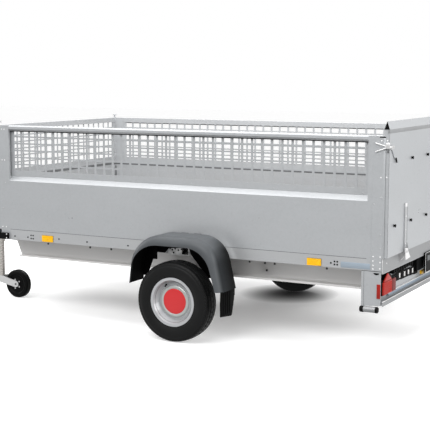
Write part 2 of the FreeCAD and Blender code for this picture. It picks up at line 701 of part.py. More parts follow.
def make_swing_arms(name):
    """Trailing arms from the beam's ends to the wheels, with their stub axles."""
    body = new_body(name)
    radius = size("arm_radius")
    rise = f"({BEAM_Z} - {AXLE_Z})"
    span = f"sqrt(Sizes.arm_trail ^ 2 + {rise} ^ 2)"
    off_x = f"({radius} * {rise} / {span})"
    off_z = f"({radius} * Sizes.arm_trail / {span})"
    for _, side in SIDES:
        start, length = from_middle(side, ARM_IN, ARM_OUT)
        pad(body, "Y", start, length, [
            (f"-{off_x}", f"{AXLE_Z} + {off_z}"), (off_x, f"{AXLE_Z} - {off_z}"),
            (f"Sizes.arm_trail + {off_x}", f"{BEAM_Z} - {off_z}"),
            (f"Sizes.arm_trail - {off_x}", f"{BEAM_Z} + {off_z}"),
        ])
        pad(body, "Y", start, length, disc=(size("arm_trail"), BEAM_Z, radius))
        pad(body, "Y", start, length, disc=("0", AXLE_Z, radius))
        start, length = from_middle(side, ARM_OUT, f"{DISC_OUT} - Sizes.spindle_end")
        pad(body, "Y", start, length, disc=("0", AXLE_Z, size("spindle_radius")))
    return body


def make_hub(name, side):
    """Hub that carries the wheel disc and turns on the stub axle."""
    body = new_body(name)
    disc_in = f"({DISC_OUT} - Sizes.rim_sheet)"
    start, length = from_middle(side, HUB_IN, disc_in)
    pad(body, "Y", start, length, disc=("0", AXLE_Z, size("hub_radius")))
    start, length = from_middle(side, f"{HUB_IN} - Sizes.overcut",
                                f"{disc_in} - Sizes.hub_end")
    pocket(body, "Y", start, length,
           disc=("0", AXLE_Z, "Sizes.spindle_radius + Sizes.spindle_clearance"))
    return body


def make_rim(name, side):
    """Drop-centre steel rim with its disc, turned in one profile."""
    half = "Sizes.rim_width / 2"
    wall = size("rim_sheet")
    drop = size("drop_radius")
    bead = size("bead_radius")
    flange = size("rim_radius")
    disc = size("disc_offset")
    inside = f"{drop} - {wall}"
    profile = [
        (half, flange), (f"{half} - {wall}", flange), (f"{half} - {wall}", bead),
        ("Sizes.rim_width * 0.30", bead), ("Sizes.rim_width * 0.24", drop),
        ("-Sizes.rim_width * 0.06", drop), ("-Sizes.rim_width * 0.14", bead),
        (f"-{half} + {wall}", bead), (f"-{half} + {wall}", flange), (f"-{half}", flange),
        (f"-{half}", f"{bead} - {wall}"), ("-Sizes.rim_width * 0.16", f"{bead} - {wall}"),
        ("-Sizes.rim_width * 0.08", inside), (f"{disc} - {wall}", inside),
        (f"{disc} - {wall}", "Sizes.hub_radius * 0.5"), (disc, "Sizes.hub_radius * 0.5"),
        (disc, inside), (f"{half} - {wall}", f"{bead} - {wall}"), (half, f"{bead} - {wall}"),
    ]
    body = new_body(name)
    profile = [(f"{side} * ({along})", radius) for along, radius in profile]
    revolve(body, "Y", ("0", f"{side} * {WHEEL_Y}", AXLE_Z), profile)
    return body


def make_tyre(name, side):
    """Tyre between the rim's flanges: sloping walls, a wide middle and a flat tread."""
    half = "Sizes.tyre_width / 2"
    bead = f"({size('bead_radius')} + Sizes.seat_gap)"
    out = size("tyre_radius")
    seat = "(Sizes.rim_width / 2 - Sizes.rim_sheet - Sizes.seat_gap)"
    flange_lean = "0.4 * (Sizes.rim_radius - Sizes.bead_radius)"
    one_half = [
        (f"{seat} - {flange_lean}", bead),
        (half, f"{size('rim_radius')} + ({half} - {seat}) / 0.4"),
        (f"{half} * 0.74", out),
    ]
    other_half = [(f"-({along})", radius) for along, radius in reversed(one_half)]
    body = new_body(name)
    revolve(body, "Y", ("0", f"{side} * {WHEEL_Y}", AXLE_Z), one_half + other_half)
    return body


def make_wheel_cap(name, side):
    """Round cover over the wheel's bolts."""
    body = new_body(name)
    radius = size("cap_radius")
    thick = size("cap_thickness")
    profile = [("0", "0"), ("0", radius), (f"{thick} * 0.5", radius),
               (thick, f"{radius} - Sizes.cap_edge"), (thick, "0")]
    profile = [(f"{side} * ({along})", reach) for along, reach in profile]
    revolve(body, "Y", ("0", f"{side} * {DISC_OUT}", AXLE_Z), profile)
    return body


# Fenders

# Cavities start this far up, clear below the fender's lower edges.
FENDER_BELOW = "(Sizes.fender_bottom - Sizes.overcut)"


def fender_outline(inset):
    """Side view of the fender, set in by a wall thickness."""
    top = f"(Sizes.fender_top - {inset})"
    foot = size("fender_bottom")
    return [
        (f"Sizes.fender_front - {inset}", foot),
        (f"Sizes.fender_front - Sizes.fender_front_lean - {inset}", top),
        (f"-Sizes.fender_rear + Sizes.fender_rear_lean + {inset}", top),
        (f"-Sizes.fender_rear + {inset}", foot),
    ]


def round_corner(body, corner, radius):
    """Rounds the cross edges that pass one corner of a side view."""
    x = value(corner[0])
    z = value(corner[1])
    fillet(body, radius, lambda edge: parallel_to(edge, "Y")
           and abs(edge.CenterOfMass.x - x) < 1 and abs(edge.CenterOfMass.z - z) < 1)


def make_fender(name, side):
    """Moulded fender: a rounded crown, an outer skirt with the wheel cut-out."""
    outline = fender_outline("0")
    start, length = from_middle(side, FENDER_IN, FENDER_OUT)
    block = prism(name + "_block", "Y", start, length, outline)
    round_corner(block, outline[1], size("fender_front_round"))
    round_corner(block, outline[2], size("fender_rear_round"))
    outer = side * value(FENDER_OUT)
    foot = value(size("fender_bottom"))
    fillet(block, size("fender_shoulder"), lambda edge: abs(edge.BoundBox.YMin - outer) < 0.01
           and edge.BoundBox.YLength < 0.01 and edge.BoundBox.ZMax > foot + 1)
    inside = fender_outline(size("fender_sheet"))
    inside = [(inside[0][0], FENDER_BELOW), inside[1], inside[2], (inside[3][0], FENDER_BELOW)]
    start, length = from_middle(side, f"{FENDER_IN} - Sizes.overcut",
                                f"{FENDER_OUT} - Sizes.fender_sheet")
    cavity = prism(name + "_cavity", "Y", start, length, inside)
    round_corner(cavity, inside[1], "Sizes.fender_front_round - Sizes.fender_sheet")
    round_corner(cavity, inside[2], "Sizes.fender_rear_round - Sizes.fender_sheet")
    inner = side * value(f"{FENDER_OUT} - Sizes.fender_sheet")
    fillet(cavity, "Sizes.fender_shoulder - Sizes.fender_sheet",
           lambda edge: abs(edge.BoundBox.YMin - inner) < 0.01
           and edge.BoundBox.YLength < 0.01 and edge.BoundBox.ZMax > foot + 1)
    opening = [
        (size("arch_front"), FENDER_BELOW),
        ("Sizes.arch_front - Sizes.arch_front_lean", size("arch_top")),
        ("-Sizes.arch_rear + Sizes.arch_rear_lean", size("arch_top")),
        ("-Sizes.arch_rear", FENDER_BELOW),
    ]
    start, length = from_middle(side, f"{FENDER_OUT} - Sizes.fender_shoulder - Sizes.fender_sheet",
                                f"{FENDER_OUT} + Sizes.overcut")
    arch = prism(name + "_arch", "Y", start, length, opening)
    round_corner(arch, opening[1], size("arch_front_round"))
    round_corner(arch, opening[2], size("arch_rear_round"))
    shell = cut(name + "_shell", block, cavity)
    return cut(name, shell, arch)


def make_mud_flaps(name):
    """Rubber flaps that lie against the fenders' rear legs and hang below them."""
    body = new_body(name)
    lean = f"(Sizes.fender_rear_lean / (Sizes.fender_top - Sizes.fender_sheet - {FENDER_BELOW}))"
    rise = f"(Sizes.fender_bottom - {FENDER_BELOW})"
    foot = f"(-Sizes.fender_rear + Sizes.fender_sheet + {lean} * {rise} + Sizes.seat_gap)"
    lap = f"({foot} + {lean} * Sizes.flap_lap)"
    thick = size("flap_thickness")
    low = "Sizes.fender_bottom - Sizes.flap_height"
    middle = "(Sizes.fender_bottom - Sizes.seat_gap)"
    high = "Sizes.fender_bottom + Sizes.flap_lap"
    hanging = rectangle(foot, low, f"{foot} + {thick}", middle)
    lapped = [
        (foot, f"{middle} - {thick}"), (f"{foot} + {thick}", f"{middle} - {thick}"),
        (f"{foot} + {thick}", size("fender_bottom")), (f"{lap} + {thick}", high), (lap, high),
        (foot, size("fender_bottom")),
    ]
    near = f"{FENDER_IN} + Sizes.flap_inset"
    for _, side in SIDES:
        start, length = from_middle(side, near, f"{FENDER_OUT} - Sizes.flap_side_gap")
        pad(body, "Y", start, length, hanging)
        start, length = from_middle(side, near, f"{FENDER_OUT} - Sizes.fender_shoulder")
        pad(body, "Y", start, length, lapped)
    return body


def make_fender_brackets(name):
    """Bent brackets from the frame to the underside of each fender's crown."""
    body = new_body(name)
    crown_front = "(Sizes.fender_front - Sizes.fender_front_lean - Sizes.fender_front_round)"
    crown_rear = "(-Sizes.fender_rear + Sizes.fender_rear_lean + Sizes.fender_rear_round)"
    middle = f"(({crown_front} + {crown_rear}) / 2)"
    under = "(Sizes.fender_top - Sizes.fender_sheet)"
    plate = size("bracket_sheet")
    section = [
        (WALL_OUT, RAIL_BOTTOM), (f"{WALL_OUT} + {plate}", RAIL_BOTTOM),
        (f"{WALL_OUT} + {plate}", f"{under} - {plate}"),
        (f"{FENDER_IN} + Sizes.bracket_reach", f"{under} - {plate}"),
        (f"{FENDER_IN} + Sizes.bracket_reach", under), (WALL_OUT, under),
    ]
    for _, side in SIDES:
        for along in (-1, 1):
            start = f"{middle} + {along} * Sizes.bracket_spread - Sizes.bracket_width / 2"
            pad(body, "X", start, size("bracket_width"), sided(side, section))
    return body


# Box


def make_corner_posts(name):
    """Four sheet posts, closed on top and open below."""
    body = new_body(name)
    for start, edge in ((REAR_IN, POST_REAR), (POST_FRONT, FRONT_IN)):
        for _, side in SIDES:
            near, far = (WALL_IN, WALL_OUT) if side > 0 else (f"-{WALL_OUT}", f"-{WALL_IN}")
            pad(body, "Z", RAIL_BOTTOM, f"{SIDE_TOP} - {RAIL_BOTTOM}",
                rectangle(start, near, edge, far))
            wall = size("post_sheet")
            pocket(body, "Z", f"{RAIL_BOTTOM} - Sizes.overcut",
                   f"{SIDE_TOP} - {RAIL_BOTTOM} + Sizes.overcut - {wall}",
                   rectangle(f"{start} + {wall}", f"{near} + {wall}",
                             f"{edge} - {wall}", f"{far} - {wall}"))
    return body


def make_side_walls(name):
    """Lower side walls: deep panels whose tops slope in to the grilles."""
    body = new_body(name)
    section = [
        (WALL_IN, DECK_UNDER), (WALL_OUT, DECK_UNDER), (WALL_OUT, f"{LOWER_TOP} - Sizes.lip_rise"),
        (f"{WALL_OUT} - Sizes.lip_depth", LOWER_TOP), (WALL_IN, LOWER_TOP),
    ]
    for _, side in SIDES:
        pad(body, "X", POST_REAR, f"{POST_FRONT} - {POST_REAR}", sided(side, section))
    return body


def holes_along(span, pitch, hole):
    """How many holes fit along a span, with a border at each end."""
    return f"floor(({span} - 2 * Sizes.grille_border + {pitch} - {hole}) / {pitch})"


def grille_window(low, high):
    """The window's four sides, and how many columns and rows of holes it takes."""
    columns = holes_along(f"({high} - ({low}))", "Sizes.column_pitch", "Sizes.hole_width")
    rows = holes_along(f"({RAIL_UNDER} - {LOWER_TOP})", "Sizes.row_pitch", "Sizes.hole_height")
    length = f"({columns} * Sizes.column_pitch - (Sizes.column_pitch - Sizes.hole_width))"
    height = f"({rows} * Sizes.row_pitch - (Sizes.row_pitch - Sizes.hole_height))"
    left = f"(({low} + {high} - {length}) / 2)"
    return left, f"({left} + {length})", f"({RAIL_UNDER} - {height})", RAIL_UNDER, columns, rows


def add_grille(body, axis, low, high, face, inward, rail_section):
    """Adds a sheet with one window, filled by upright and level strips in two layers.

    face is the sheet's inner face; inward is the sign of the way to the load space.
    The upright strips are the outer layer, and the level ones the inner.
    """
    thick = size("grille_sheet")
    strip = size("strip_thickness")
    start = face if inward < 0 else f"({face}) - {thick}"
    left, right, bottom, top, columns, rows = grille_window(low, high)
    pad(body, axis, start, thick, rectangle(low, LOWER_TOP, high, SIDE_TOP))
    pocket(body, axis, f"{start} - Sizes.overcut", f"{thick} + 2 * Sizes.overcut",
           rectangle(left, bottom, right, top))
    outer = start if inward > 0 else f"({start}) + {thick} - {strip}"
    inner = f"({start}) + {thick} - {strip}" if inward > 0 else start
    gap = "(Sizes.column_pitch - Sizes.hole_width)"
    upright = pad(body, axis, outer, strip, rectangle(
        f"{left} + Sizes.hole_width", f"{bottom} - Sizes.overcut",
        f"{left} + Sizes.hole_width + {gap}", f"{top} + Sizes.overcut"))
    along = "Y" if axis == "X" else "X"
    repeat(body, upright, along, size("column_pitch"), f"{columns} - 1")
    bar = "(Sizes.row_pitch - Sizes.hole_height)"
    level = pad(body, axis, inner, strip, rectangle(
        f"{left} - Sizes.overcut", f"{bottom} + Sizes.hole_height",
        f"{right} + Sizes.overcut", f"{bottom} + Sizes.hole_height + {bar}"))
    repeat(body, level, "Z", size("row_pitch"), f"{rows} - 1")
    pad(body, along, low, f"({high}) - ({low})", rail_section)


def top_rail(inner, outer, sign):
    """Section of the profile along the top, with a bevel above and a fold in below."""
    bevel = size("top_rail_bevel")
    fold = size("top_rail_undercut")
    return [
        (inner, RAIL_UNDER), (f"{outer} - {sign} * {fold}", RAIL_UNDER),
        (outer, f"{RAIL_UNDER} + {fold}"), (outer, f"{SIDE_TOP} - {bevel}"),
        (f"{outer} - {sign} * {bevel}", SIDE_TOP), (inner, SIDE_TOP),
    ]


def make_side_grilles(name):
    body = new_body(name)
    for _, side in SIDES:
        face = f"{side} * ({WALL_IN} + Sizes.grille_setback)"
        section = top_rail(f"{side} * {WALL_IN}", f"{side} * {WALL_OUT}", side)
        add_grille(body, "Y", POST_REAR, POST_FRONT, face, -side, section)
    return body


def make_front_grille(name):
    body = new_body(name)
    face = f"({FRONT_IN} + Sizes.grille_setback)"
    section = top_rail(FRONT_IN, FRONT_OUT, 1)
    add_grille(body, "X", f"-{WALL_IN}", WALL_IN, face, -1, section)
    return body


def make_front_wall(name):
    """Front wall: a lower panel and a stile up each end beside the grille, with its peg."""
    outline = [
        (f"-{WALL_OUT}", DECK_UNDER), (WALL_OUT, DECK_UNDER), (WALL_OUT, SIDE_TOP), (WALL_IN, SIDE_TOP),
        (WALL_IN, LOWER_TOP), (f"-{WALL_IN}", LOWER_TOP), (f"-{WALL_IN}", SIDE_TOP),
        (f"-{WALL_OUT}", SIDE_TOP),
    ]
    body = prism(name, "X", FRONT_IN, size("end_wall_depth"), outline)
    across = f"({FRONT_IN} + {FRONT_OUT}) / 2"
    head = f"({SIDE_TOP} + Sizes.peg_height)"
    for _, side in SIDES:
        along = f"{side} * ({WALL_IN} + {WALL_OUT}) / 2"
        pad(body, "Z", SIDE_TOP, f"Sizes.peg_height + Sizes.peg_head_height",
            disc=(across, along, size("peg_radius")))
        pad(body, "Z", head, size("peg_head_height"), disc=(across, along, size("peg_head")))
    return body


# Tailgate

GATE_IN = f"({REAR_IN} - Sizes.tailgate_gap)"
RIDGE_BASE = f"({TAILGATE_TOP} - Sizes.ridge_height)"
RIDGE_MIDDLE = f"(({GATE_IN} + {REAR_OUT}) / 2)"
GATE_HALF = f"({WALL_OUT} - Sizes.cap_plate)"


def make_tailgate(name):
    """Deep panel with a recess under the three-sided profile along its top."""
    recess = f"{REAR_OUT} + Sizes.ridge_groove_depth"
    groove_low = f"{RIDGE_BASE} - Sizes.ridge_groove"
    section = [
        (GATE_IN, f"{DECK_UNDER} + Sizes.sill_rise + Sizes.tailgate_sill_gap"),
        (REAR_OUT, TAILGATE_BOTTOM), (REAR_OUT, groove_low), (recess, groove_low),
        (recess, RIDGE_BASE), (REAR_OUT, RIDGE_BASE), (RIDGE_MIDDLE, TAILGATE_TOP),
        (GATE_IN, RIDGE_BASE),
    ]
    return prism(name, "Y", f"-{GATE_HALF}", f"2 * {GATE_HALF}", section)


def make_tailgate_caps(name):
    body = new_body(name)
    for _, side in SIDES:
        start, length = from_middle(side, GATE_HALF, WALL_OUT)
        pad(body, "Y", start, length, [
            (GATE_IN, RIDGE_BASE), (REAR_OUT, RIDGE_BASE), (RIDGE_MIDDLE, TAILGATE_TOP)])
    return body


STRAP_BOTTOM = f"({TAILGATE_BOTTOM} + Sizes.strap_lift)"
STRAP_BACK = f"({REAR_OUT} - Sizes.strap_depth)"


def make_hinge_straps(name):
    """Flat straps up the tailgate whose cheeks turn on the hinge pins."""
    body = new_body(name)
    for _, side in SIDES:
        middle = f"({side} * Sizes.hinge_spread)"
        half = "Sizes.strap_width / 2"
        pad(body, "Z", STRAP_BOTTOM, size("strap_height"), rectangle(
            f"{REAR_OUT} - Sizes.strap_plate", f"{middle} - {half}",
            REAR_OUT, f"{middle} + {half}"))
        top = f"{STRAP_BOTTOM} + Sizes.strap_cheek"
        beyond = size("ear_round")
        ear = [
            (REAR_OUT, top), (f"{REAR_OUT} - Sizes.strap_plate", top),
            (STRAP_BACK, STRAP_BOTTOM), (STRAP_BACK, PIN_Z),
            (f"{PIN_X} - {beyond} * 0.4", f"{PIN_Z} - {beyond}"),
            (f"{PIN_X} + {beyond} * 0.4", f"{PIN_Z} - {beyond}"),
            (f"{PIN_X} + {beyond}", PIN_Z),
            (f"{PIN_X} + {beyond}", f"{TAILGATE_BOTTOM} + {beyond} * 0.4"),
            (REAR_OUT, f"{TAILGATE_BOTTOM} + {beyond} * 0.8"),
        ]
        for start in (f"{middle} - {half}", f"{middle} + {half} - Sizes.strap_ear"):
            pad(body, "Y", start, size("strap_ear"), ear)
        pocket(body, "Y", f"{middle} - {half} - Sizes.overcut",
               "Sizes.strap_width + 2 * Sizes.overcut",
               disc=(PIN_X, PIN_Z, "Sizes.hinge_pin + Sizes.hinge_clearance"))
    return body


def make_hinge_tongues(name):
    """Sloping tongues on the rear sill with the pins that the straps turn on."""
    body = new_body(name)
    for _, side in SIDES:
        middle = f"({side} * Sizes.hinge_spread)"
        half = "(Sizes.strap_width / 2 - Sizes.strap_ear - Sizes.tongue_play)"
        top = f"{DECK_UNDER} + Sizes.sill_rise"
        low = f"{PIN_Z} - Sizes.tongue_drop"
        nose = size("tongue_nose")
        pad(body, "Y", f"{middle} - {half}", f"2 * {half}", [
            (SILL_BACK, top), (SILL_BACK, low), (f"{SILL_BACK} - Sizes.tongue_foot", low),
            (f"{PIN_X} - {nose}", f"{PIN_Z} - {nose} * 0.7"),
            (f"{PIN_X} - {nose}", f"{PIN_Z} + {nose} * 0.8"),
            (f"{PIN_X} - {nose} * 0.5", f"{PIN_Z} + {nose} * 1.5"),
            (f"{PIN_X} + {nose} * 0.7", f"{PIN_Z} + {nose} * 1.5"),
            (f"{PIN_X} + {nose} * 1.3", f"{PIN_Z} - {nose} * 0.5"),
        ])
        pad(body, "Y", f"{middle} - Sizes.strap_width / 2", size("strap_width"),
            disc=(PIN_X, PIN_Z, size("hinge_pin")))
    return body


def make_latches(name):
    """Over-centre latches at the tailgate's upper corners, each with its wire bail."""
    body = new_body(name)
    middle = f"({SIDE_TOP} - Sizes.latch_height)"
    wire = size("latch_wire")
    spread = "Sizes.latch_spread / 2"
    foot = f"({REAR_OUT} + Sizes.latch_reach)"
    bail = [
        (foot, f"{middle} + {spread}"), (foot, f"{middle} + {spread} - {wire}"),
        (f"{REAR_OUT} + Sizes.latch_hook", middle), (foot, f"{middle} - {spread} + {wire}"),
        (foot, f"{middle} - {spread}"), (f"{REAR_OUT} - Sizes.latch_hook", f"{middle} - {wire}"),
        (f"{REAR_OUT} - Sizes.latch_hook", f"{middle} + {wire}"),
    ]
    for _, side in SIDES:
        near = f"({WALL_OUT} + Sizes.latch_clearance)"
        start, length = from_middle(side, near, f"{near} + {wire}")
        pad(body, "Y", start, length, bail)
        start, length = from_middle(side, f"{WALL_OUT} - 2 * Sizes.lever_width",
                                    f"{near} + {wire}")
        pad(body, "Y", start, length, rectangle(
            f"{REAR_OUT} - Sizes.latch_hook", f"{middle} - Sizes.latch_block / 2",
            REAR_OUT, f"{middle} + Sizes.latch_block / 2"))
        lever = [
            (f"{WALL_OUT} - Sizes.lever_width", f"{middle} + Sizes.latch_block / 2"),
            (f"{WALL_OUT} - 2 * Sizes.lever_width", f"{middle} + Sizes.latch_block / 2"),
            (f"{WALL_OUT} - Sizes.lever_length", f"{middle} - Sizes.lever_length * 0.86"),
            (f"{WALL_OUT} - Sizes.lever_length + Sizes.lever_width * 0.6",
             f"{middle} - Sizes.lever_length * 0.92"),
        ]
        pad(body, "X", f"{REAR_OUT} - Sizes.latch_hook - Sizes.lever_sheet",
            size("lever_sheet"), sided(side, lever))
    return body


# Rear carrier and lamps


def make_light_carrier(name):
    """Channel across the rear, open backwards, with a plate down each side."""
    body = new_body(name)
    wall = size("carrier_sheet")
    low = size("carrier_bottom")
    high = size("carrier_top")
    channel = [
        (SILL_BACK, high), (CARRIER_FRONT, high), (CARRIER_FRONT, low), (SILL_BACK, low),
        (SILL_BACK, f"{low} + Sizes.carrier_lip"),
        (f"{SILL_BACK} + {wall}", f"{low} + Sizes.carrier_lip"),
        (f"{SILL_BACK} + {wall}", f"{low} + {wall}"),
        (f"{CARRIER_FRONT} - {wall}", f"{low} + {wall}"),
        (f"{CARRIER_FRONT} - {wall}", f"{high} - {wall}"), (SILL_BACK, f"{high} - {wall}"),
    ]
    inside = f"({WALL_OUT} - {wall})"
    pad(body, "Y", f"-{inside}", f"2 * {inside}", channel)
    front = f"({SILL_BACK} + Sizes.carrier_side_length)"
    rear = f"({REAR_IN} + Sizes.carrier_side_setback)"
    plate = [
        (rear, low), (rear, RAIL_BOTTOM),
        (front, RAIL_BOTTOM), (front, f"{low} - Sizes.carrier_side_drop"),
    ]
    for _, side in SIDES:
        start, length = from_middle(side, inside, WALL_OUT)
        pad(body, "Y", start, length, plate)
    return body


def make_tail_lamps(name):
    """Lamp clusters with a triangular reflector rising from each."""
    body = new_body(name)
    outer = f"({WALL_OUT} - Sizes.lamp_inset)"
    inner = f"({outer} - Sizes.lamp_width)"
    low = size("lamp_bottom")
    high = "(Sizes.lamp_bottom + Sizes.lamp_height)"
    apex = f"({outer} + {inner}) / 2"
    outline = [
        (inner, low), (outer, low), (outer, high), (f"{apex} + Sizes.lamp_triangle_half", high),
        (apex, f"{high} + Sizes.lamp_triangle"), (f"{apex} - Sizes.lamp_triangle_half", high),
        (inner, high),
    ]
    mount = f"({CARRIER_FRONT} - Sizes.carrier_sheet)"
    for _, side in SIDES:
        pad(body, "X", f"{mount} - Sizes.lamp_depth", size("lamp_depth"), sided(side, outline))
    return body


def make_plate_base(name):
    """Blank number plate base that hangs from the rear sill, right of the middle."""
    return prism(name, "X", f"{SILL_BACK} - Sizes.plate_base", size("plate_base"), rectangle(
        "-Sizes.plate_side - Sizes.plate_width", f"{RAIL_BOTTOM} - Sizes.plate_height",
        "-Sizes.plate_side", RAIL_BOTTOM))


def make_corner_rollers(name):
    """Short tubes under the light carrier's side plates."""
    body = new_body(name)
    front = f"({SILL_BACK} + Sizes.carrier_side_length)"
    level = "(Sizes.carrier_bottom - Sizes.carrier_side_drop - Sizes.roller_radius)"
    for _, side in SIDES:
        pad(body, "X", f"{front} - Sizes.roller_length", size("roller_length"), disc=(
            f"{side} * ({WALL_OUT} - Sizes.carrier_sheet / 2)", level, size("roller_radius")))
    return body


def make_side_reflectors(name):
    body = new_body(name)
    middle = "(Sizes.rail_bottom + Sizes.rail_height * 0.36)"
    half_length = "Sizes.reflector_length / 2"
    half_height = "Sizes.reflector_height / 2"
    for place in ("Sizes.reflector_front", "-Sizes.reflector_rear"):
        for _, side in SIDES:
            start, length = from_middle(
                side, WALL_OUT, f"{WALL_OUT} + Sizes.reflector_thickness")
            pad(body, "Y", start, length, rectangle(
                f"{place} - {half_length}", f"{middle} - {half_height}",
                f"{place} + {half_length}", f"{middle} + {half_height}"))
    return body


def make_front_markers(name):
    body = new_body(name)
    end = f"({FRONT_OUT} + Sizes.marker_ahead)"
    low = f"({RAIL_BOTTOM} + 1)"
    for _, side in SIDES:
        start, length = from_middle(side, WALL_OUT, f"{WALL_OUT} + Sizes.marker_depth")
        pad(body, "Y", start, length, rectangle(
            f"{end} - Sizes.marker_length", low, end, f"{low} + Sizes.marker_height"))
    return body


# Jockey wheel

JOCKEY_X = size("jockey_ahead")
JOCKEY_Y = f"({drawbar_line(JOCKEY_X)} + {DRAWBAR_HALF} + Sizes.jockey_offset)"
HUB_X = "(Sizes.jockey_ahead - Sizes.jockey_trail)"
HUB_Z = size("jockey_radius")
FORK_TOP = "(Sizes.jockey_radius + Sizes.fork_rise + Sizes.fork_collar / 2)"
FORK_HALF = "(Sizes.jockey_width / 2 + Sizes.jockey_gap + Sizes.fork_plate)"
TUBE_BOTTOM = f"({FORK_TOP} + Sizes.swivel_gap)"
TUBE_TOP = "(Sizes.outer_tube_bottom + Sizes.outer_tube_length)"


def make_jockey_outer_tube(name):
    body = new_body(name)
    inside = "(Sizes.inner_tube + Sizes.slide_clearance)"
    pad(body, "Z", size("outer_tube_bottom"), size("outer_tube_length"),
        disc=(JOCKEY_X, JOCKEY_Y, size("outer_tube")))
    pocket(body, "Z", "Sizes.outer_tube_bottom - Sizes.overcut",
           "Sizes.outer_tube_length + Sizes.overcut - Sizes.outer_tube_lid",
           disc=(JOCKEY_X, JOCKEY_Y, inside))
    return body


def make_jockey_clamp(name):
    """Clamp ring round the outer tube, on a block against the left drawbar arm."""
    body = new_body(name)
    low = f"({DRAWBAR_BOTTOM} + (Sizes.drawbar_height - Sizes.clamp_height) / 2)"
    rear = "(Sizes.jockey_ahead - Sizes.clamp_length / 2)"
    front = "(Sizes.jockey_ahead + Sizes.clamp_length / 2)"
    plan = [
        (rear, f"{drawbar_line(rear)} + {DRAWBAR_HALF}"),
        (front, f"{drawbar_line(front)} + {DRAWBAR_HALF}"),
        (front, JOCKEY_Y), (rear, JOCKEY_Y),
    ]
    pad(body, "Z", low, size("clamp_height"), plan)
    pad(body, "Z", low, size("clamp_height"), disc=(JOCKEY_X, JOCKEY_Y, size("clamp_ring")))
    pocket(body, "Z", f"{low} - Sizes.overcut", "Sizes.clamp_height + 2 * Sizes.overcut",
           disc=(JOCKEY_X, JOCKEY_Y, size("outer_tube")))
    return body


def make_jockey_crank(name):
    """Crank on top of the jockey tube."""
    body = new_body(name)
    rod = size("crank_rod")
    level = f"({TUBE_TOP} + Sizes.crank_boss / 2)"
    pad(body, "Z", TUBE_TOP, size("crank_boss"),
        disc=(JOCKEY_X, JOCKEY_Y, "Sizes.outer_tube * 0.6"))
    pad(body, "X", JOCKEY_X, size("crank_length"), disc=(JOCKEY_Y, level, rod))
    pad(body, "Z", f"{level} - {rod}", size("crank_grip"),
        disc=(f"{JOCKEY_X} + Sizes.crank_length", JOCKEY_Y, f"{rod} * 1.6"))
    return body


def make_jockey_inner_tube(name):
    body = new_body(name)
    pad(body, "Z", TUBE_BOTTOM, size("inner_tube_length"),
        disc=(JOCKEY_X, JOCKEY_Y, size("inner_tube")))
    pocket(body, "Z", f"{TUBE_BOTTOM} + Sizes.inner_tube_floor", size("inner_tube_length"),
           disc=(JOCKEY_X, JOCKEY_Y, "Sizes.inner_tube - Sizes.inner_tube_wall"))
    return body


def make_jockey_fork(name):
    """Trailing fork: a head under the tube and a plate down each side of the wheel."""
    body = new_body(name)
    half = "Sizes.fork_width / 2"
    low = f"({FORK_TOP} - Sizes.fork_collar - Sizes.fork_neck)"
    head = "Sizes.outer_tube * 1.05"
    side_view = [
        (f"{HUB_X} - 0.28 * {half}", f"{HUB_Z} + {half}"),
        (f"{JOCKEY_X} - {head}", FORK_TOP), (f"{JOCKEY_X} + {head}", FORK_TOP),
        (f"{JOCKEY_X} + {head}", low), (f"{HUB_X} + 0.28 * {half}", f"{HUB_Z} - {half}"),
    ]
    start = f"({JOCKEY_Y} - {FORK_HALF})"
    pad(body, "Y", start, f"2 * {FORK_HALF}", side_view)
    pad(body, "Y", start, f"2 * {FORK_HALF}", disc=(HUB_X, HUB_Z, half))
    slot = [
        (f"{HUB_X} - Sizes.fork_width", f"{HUB_Z} - Sizes.fork_width"),
        (f"{JOCKEY_X} - {head}", f"{HUB_Z} - Sizes.fork_width"),
        (f"{JOCKEY_X} - {head}", f"{FORK_TOP} + Sizes.overcut"),
        (f"{HUB_X} - Sizes.fork_width", f"{FORK_TOP} + Sizes.overcut"),
    ]
    inner = f"({JOCKEY_Y} - {FORK_HALF} + Sizes.fork_plate)"
    pocket(body, "Y", inner, f"2 * ({FORK_HALF} - Sizes.fork_plate)", slot)
    pad(body, "Y", start, f"2 * {FORK_HALF}", disc=(HUB_X, HUB_Z, size("fork_pin")))
    return body


def make_jockey_wheel(name):
    """Solid wheel with a rounded tread, turning on the fork's pin."""
    body = new_body(name)
    half = "Sizes.jockey_width / 2"
    radius = size("jockey_radius")
    bore = "Sizes.fork_pin + Sizes.spindle_clearance"
    profile = [
        (f"-{half}", bore), (f"-{half}", f"{radius} * 0.30"), (f"-{half} * 0.7", f"{radius} * 0.36"),
        (f"-{half} * 0.7", f"{radius} * 0.62"), (f"-{half}", f"{radius} * 0.72"),
        (f"-{half}", f"{radius} * 0.88"), (f"-{half} * 0.5", radius), (f"{half} * 0.5", radius),
        (half, f"{radius} * 0.88"), (half, f"{radius} * 0.72"),
        (f"{half} * 0.7", f"{radius} * 0.62"), (f"{half} * 0.7", f"{radius} * 0.36"),
        (half, f"{radius} * 0.30"), (half, bore),
    ]
    revolve(body, "Y", (HUB_X, JOCKEY_Y, HUB_Z), profile)
    return body


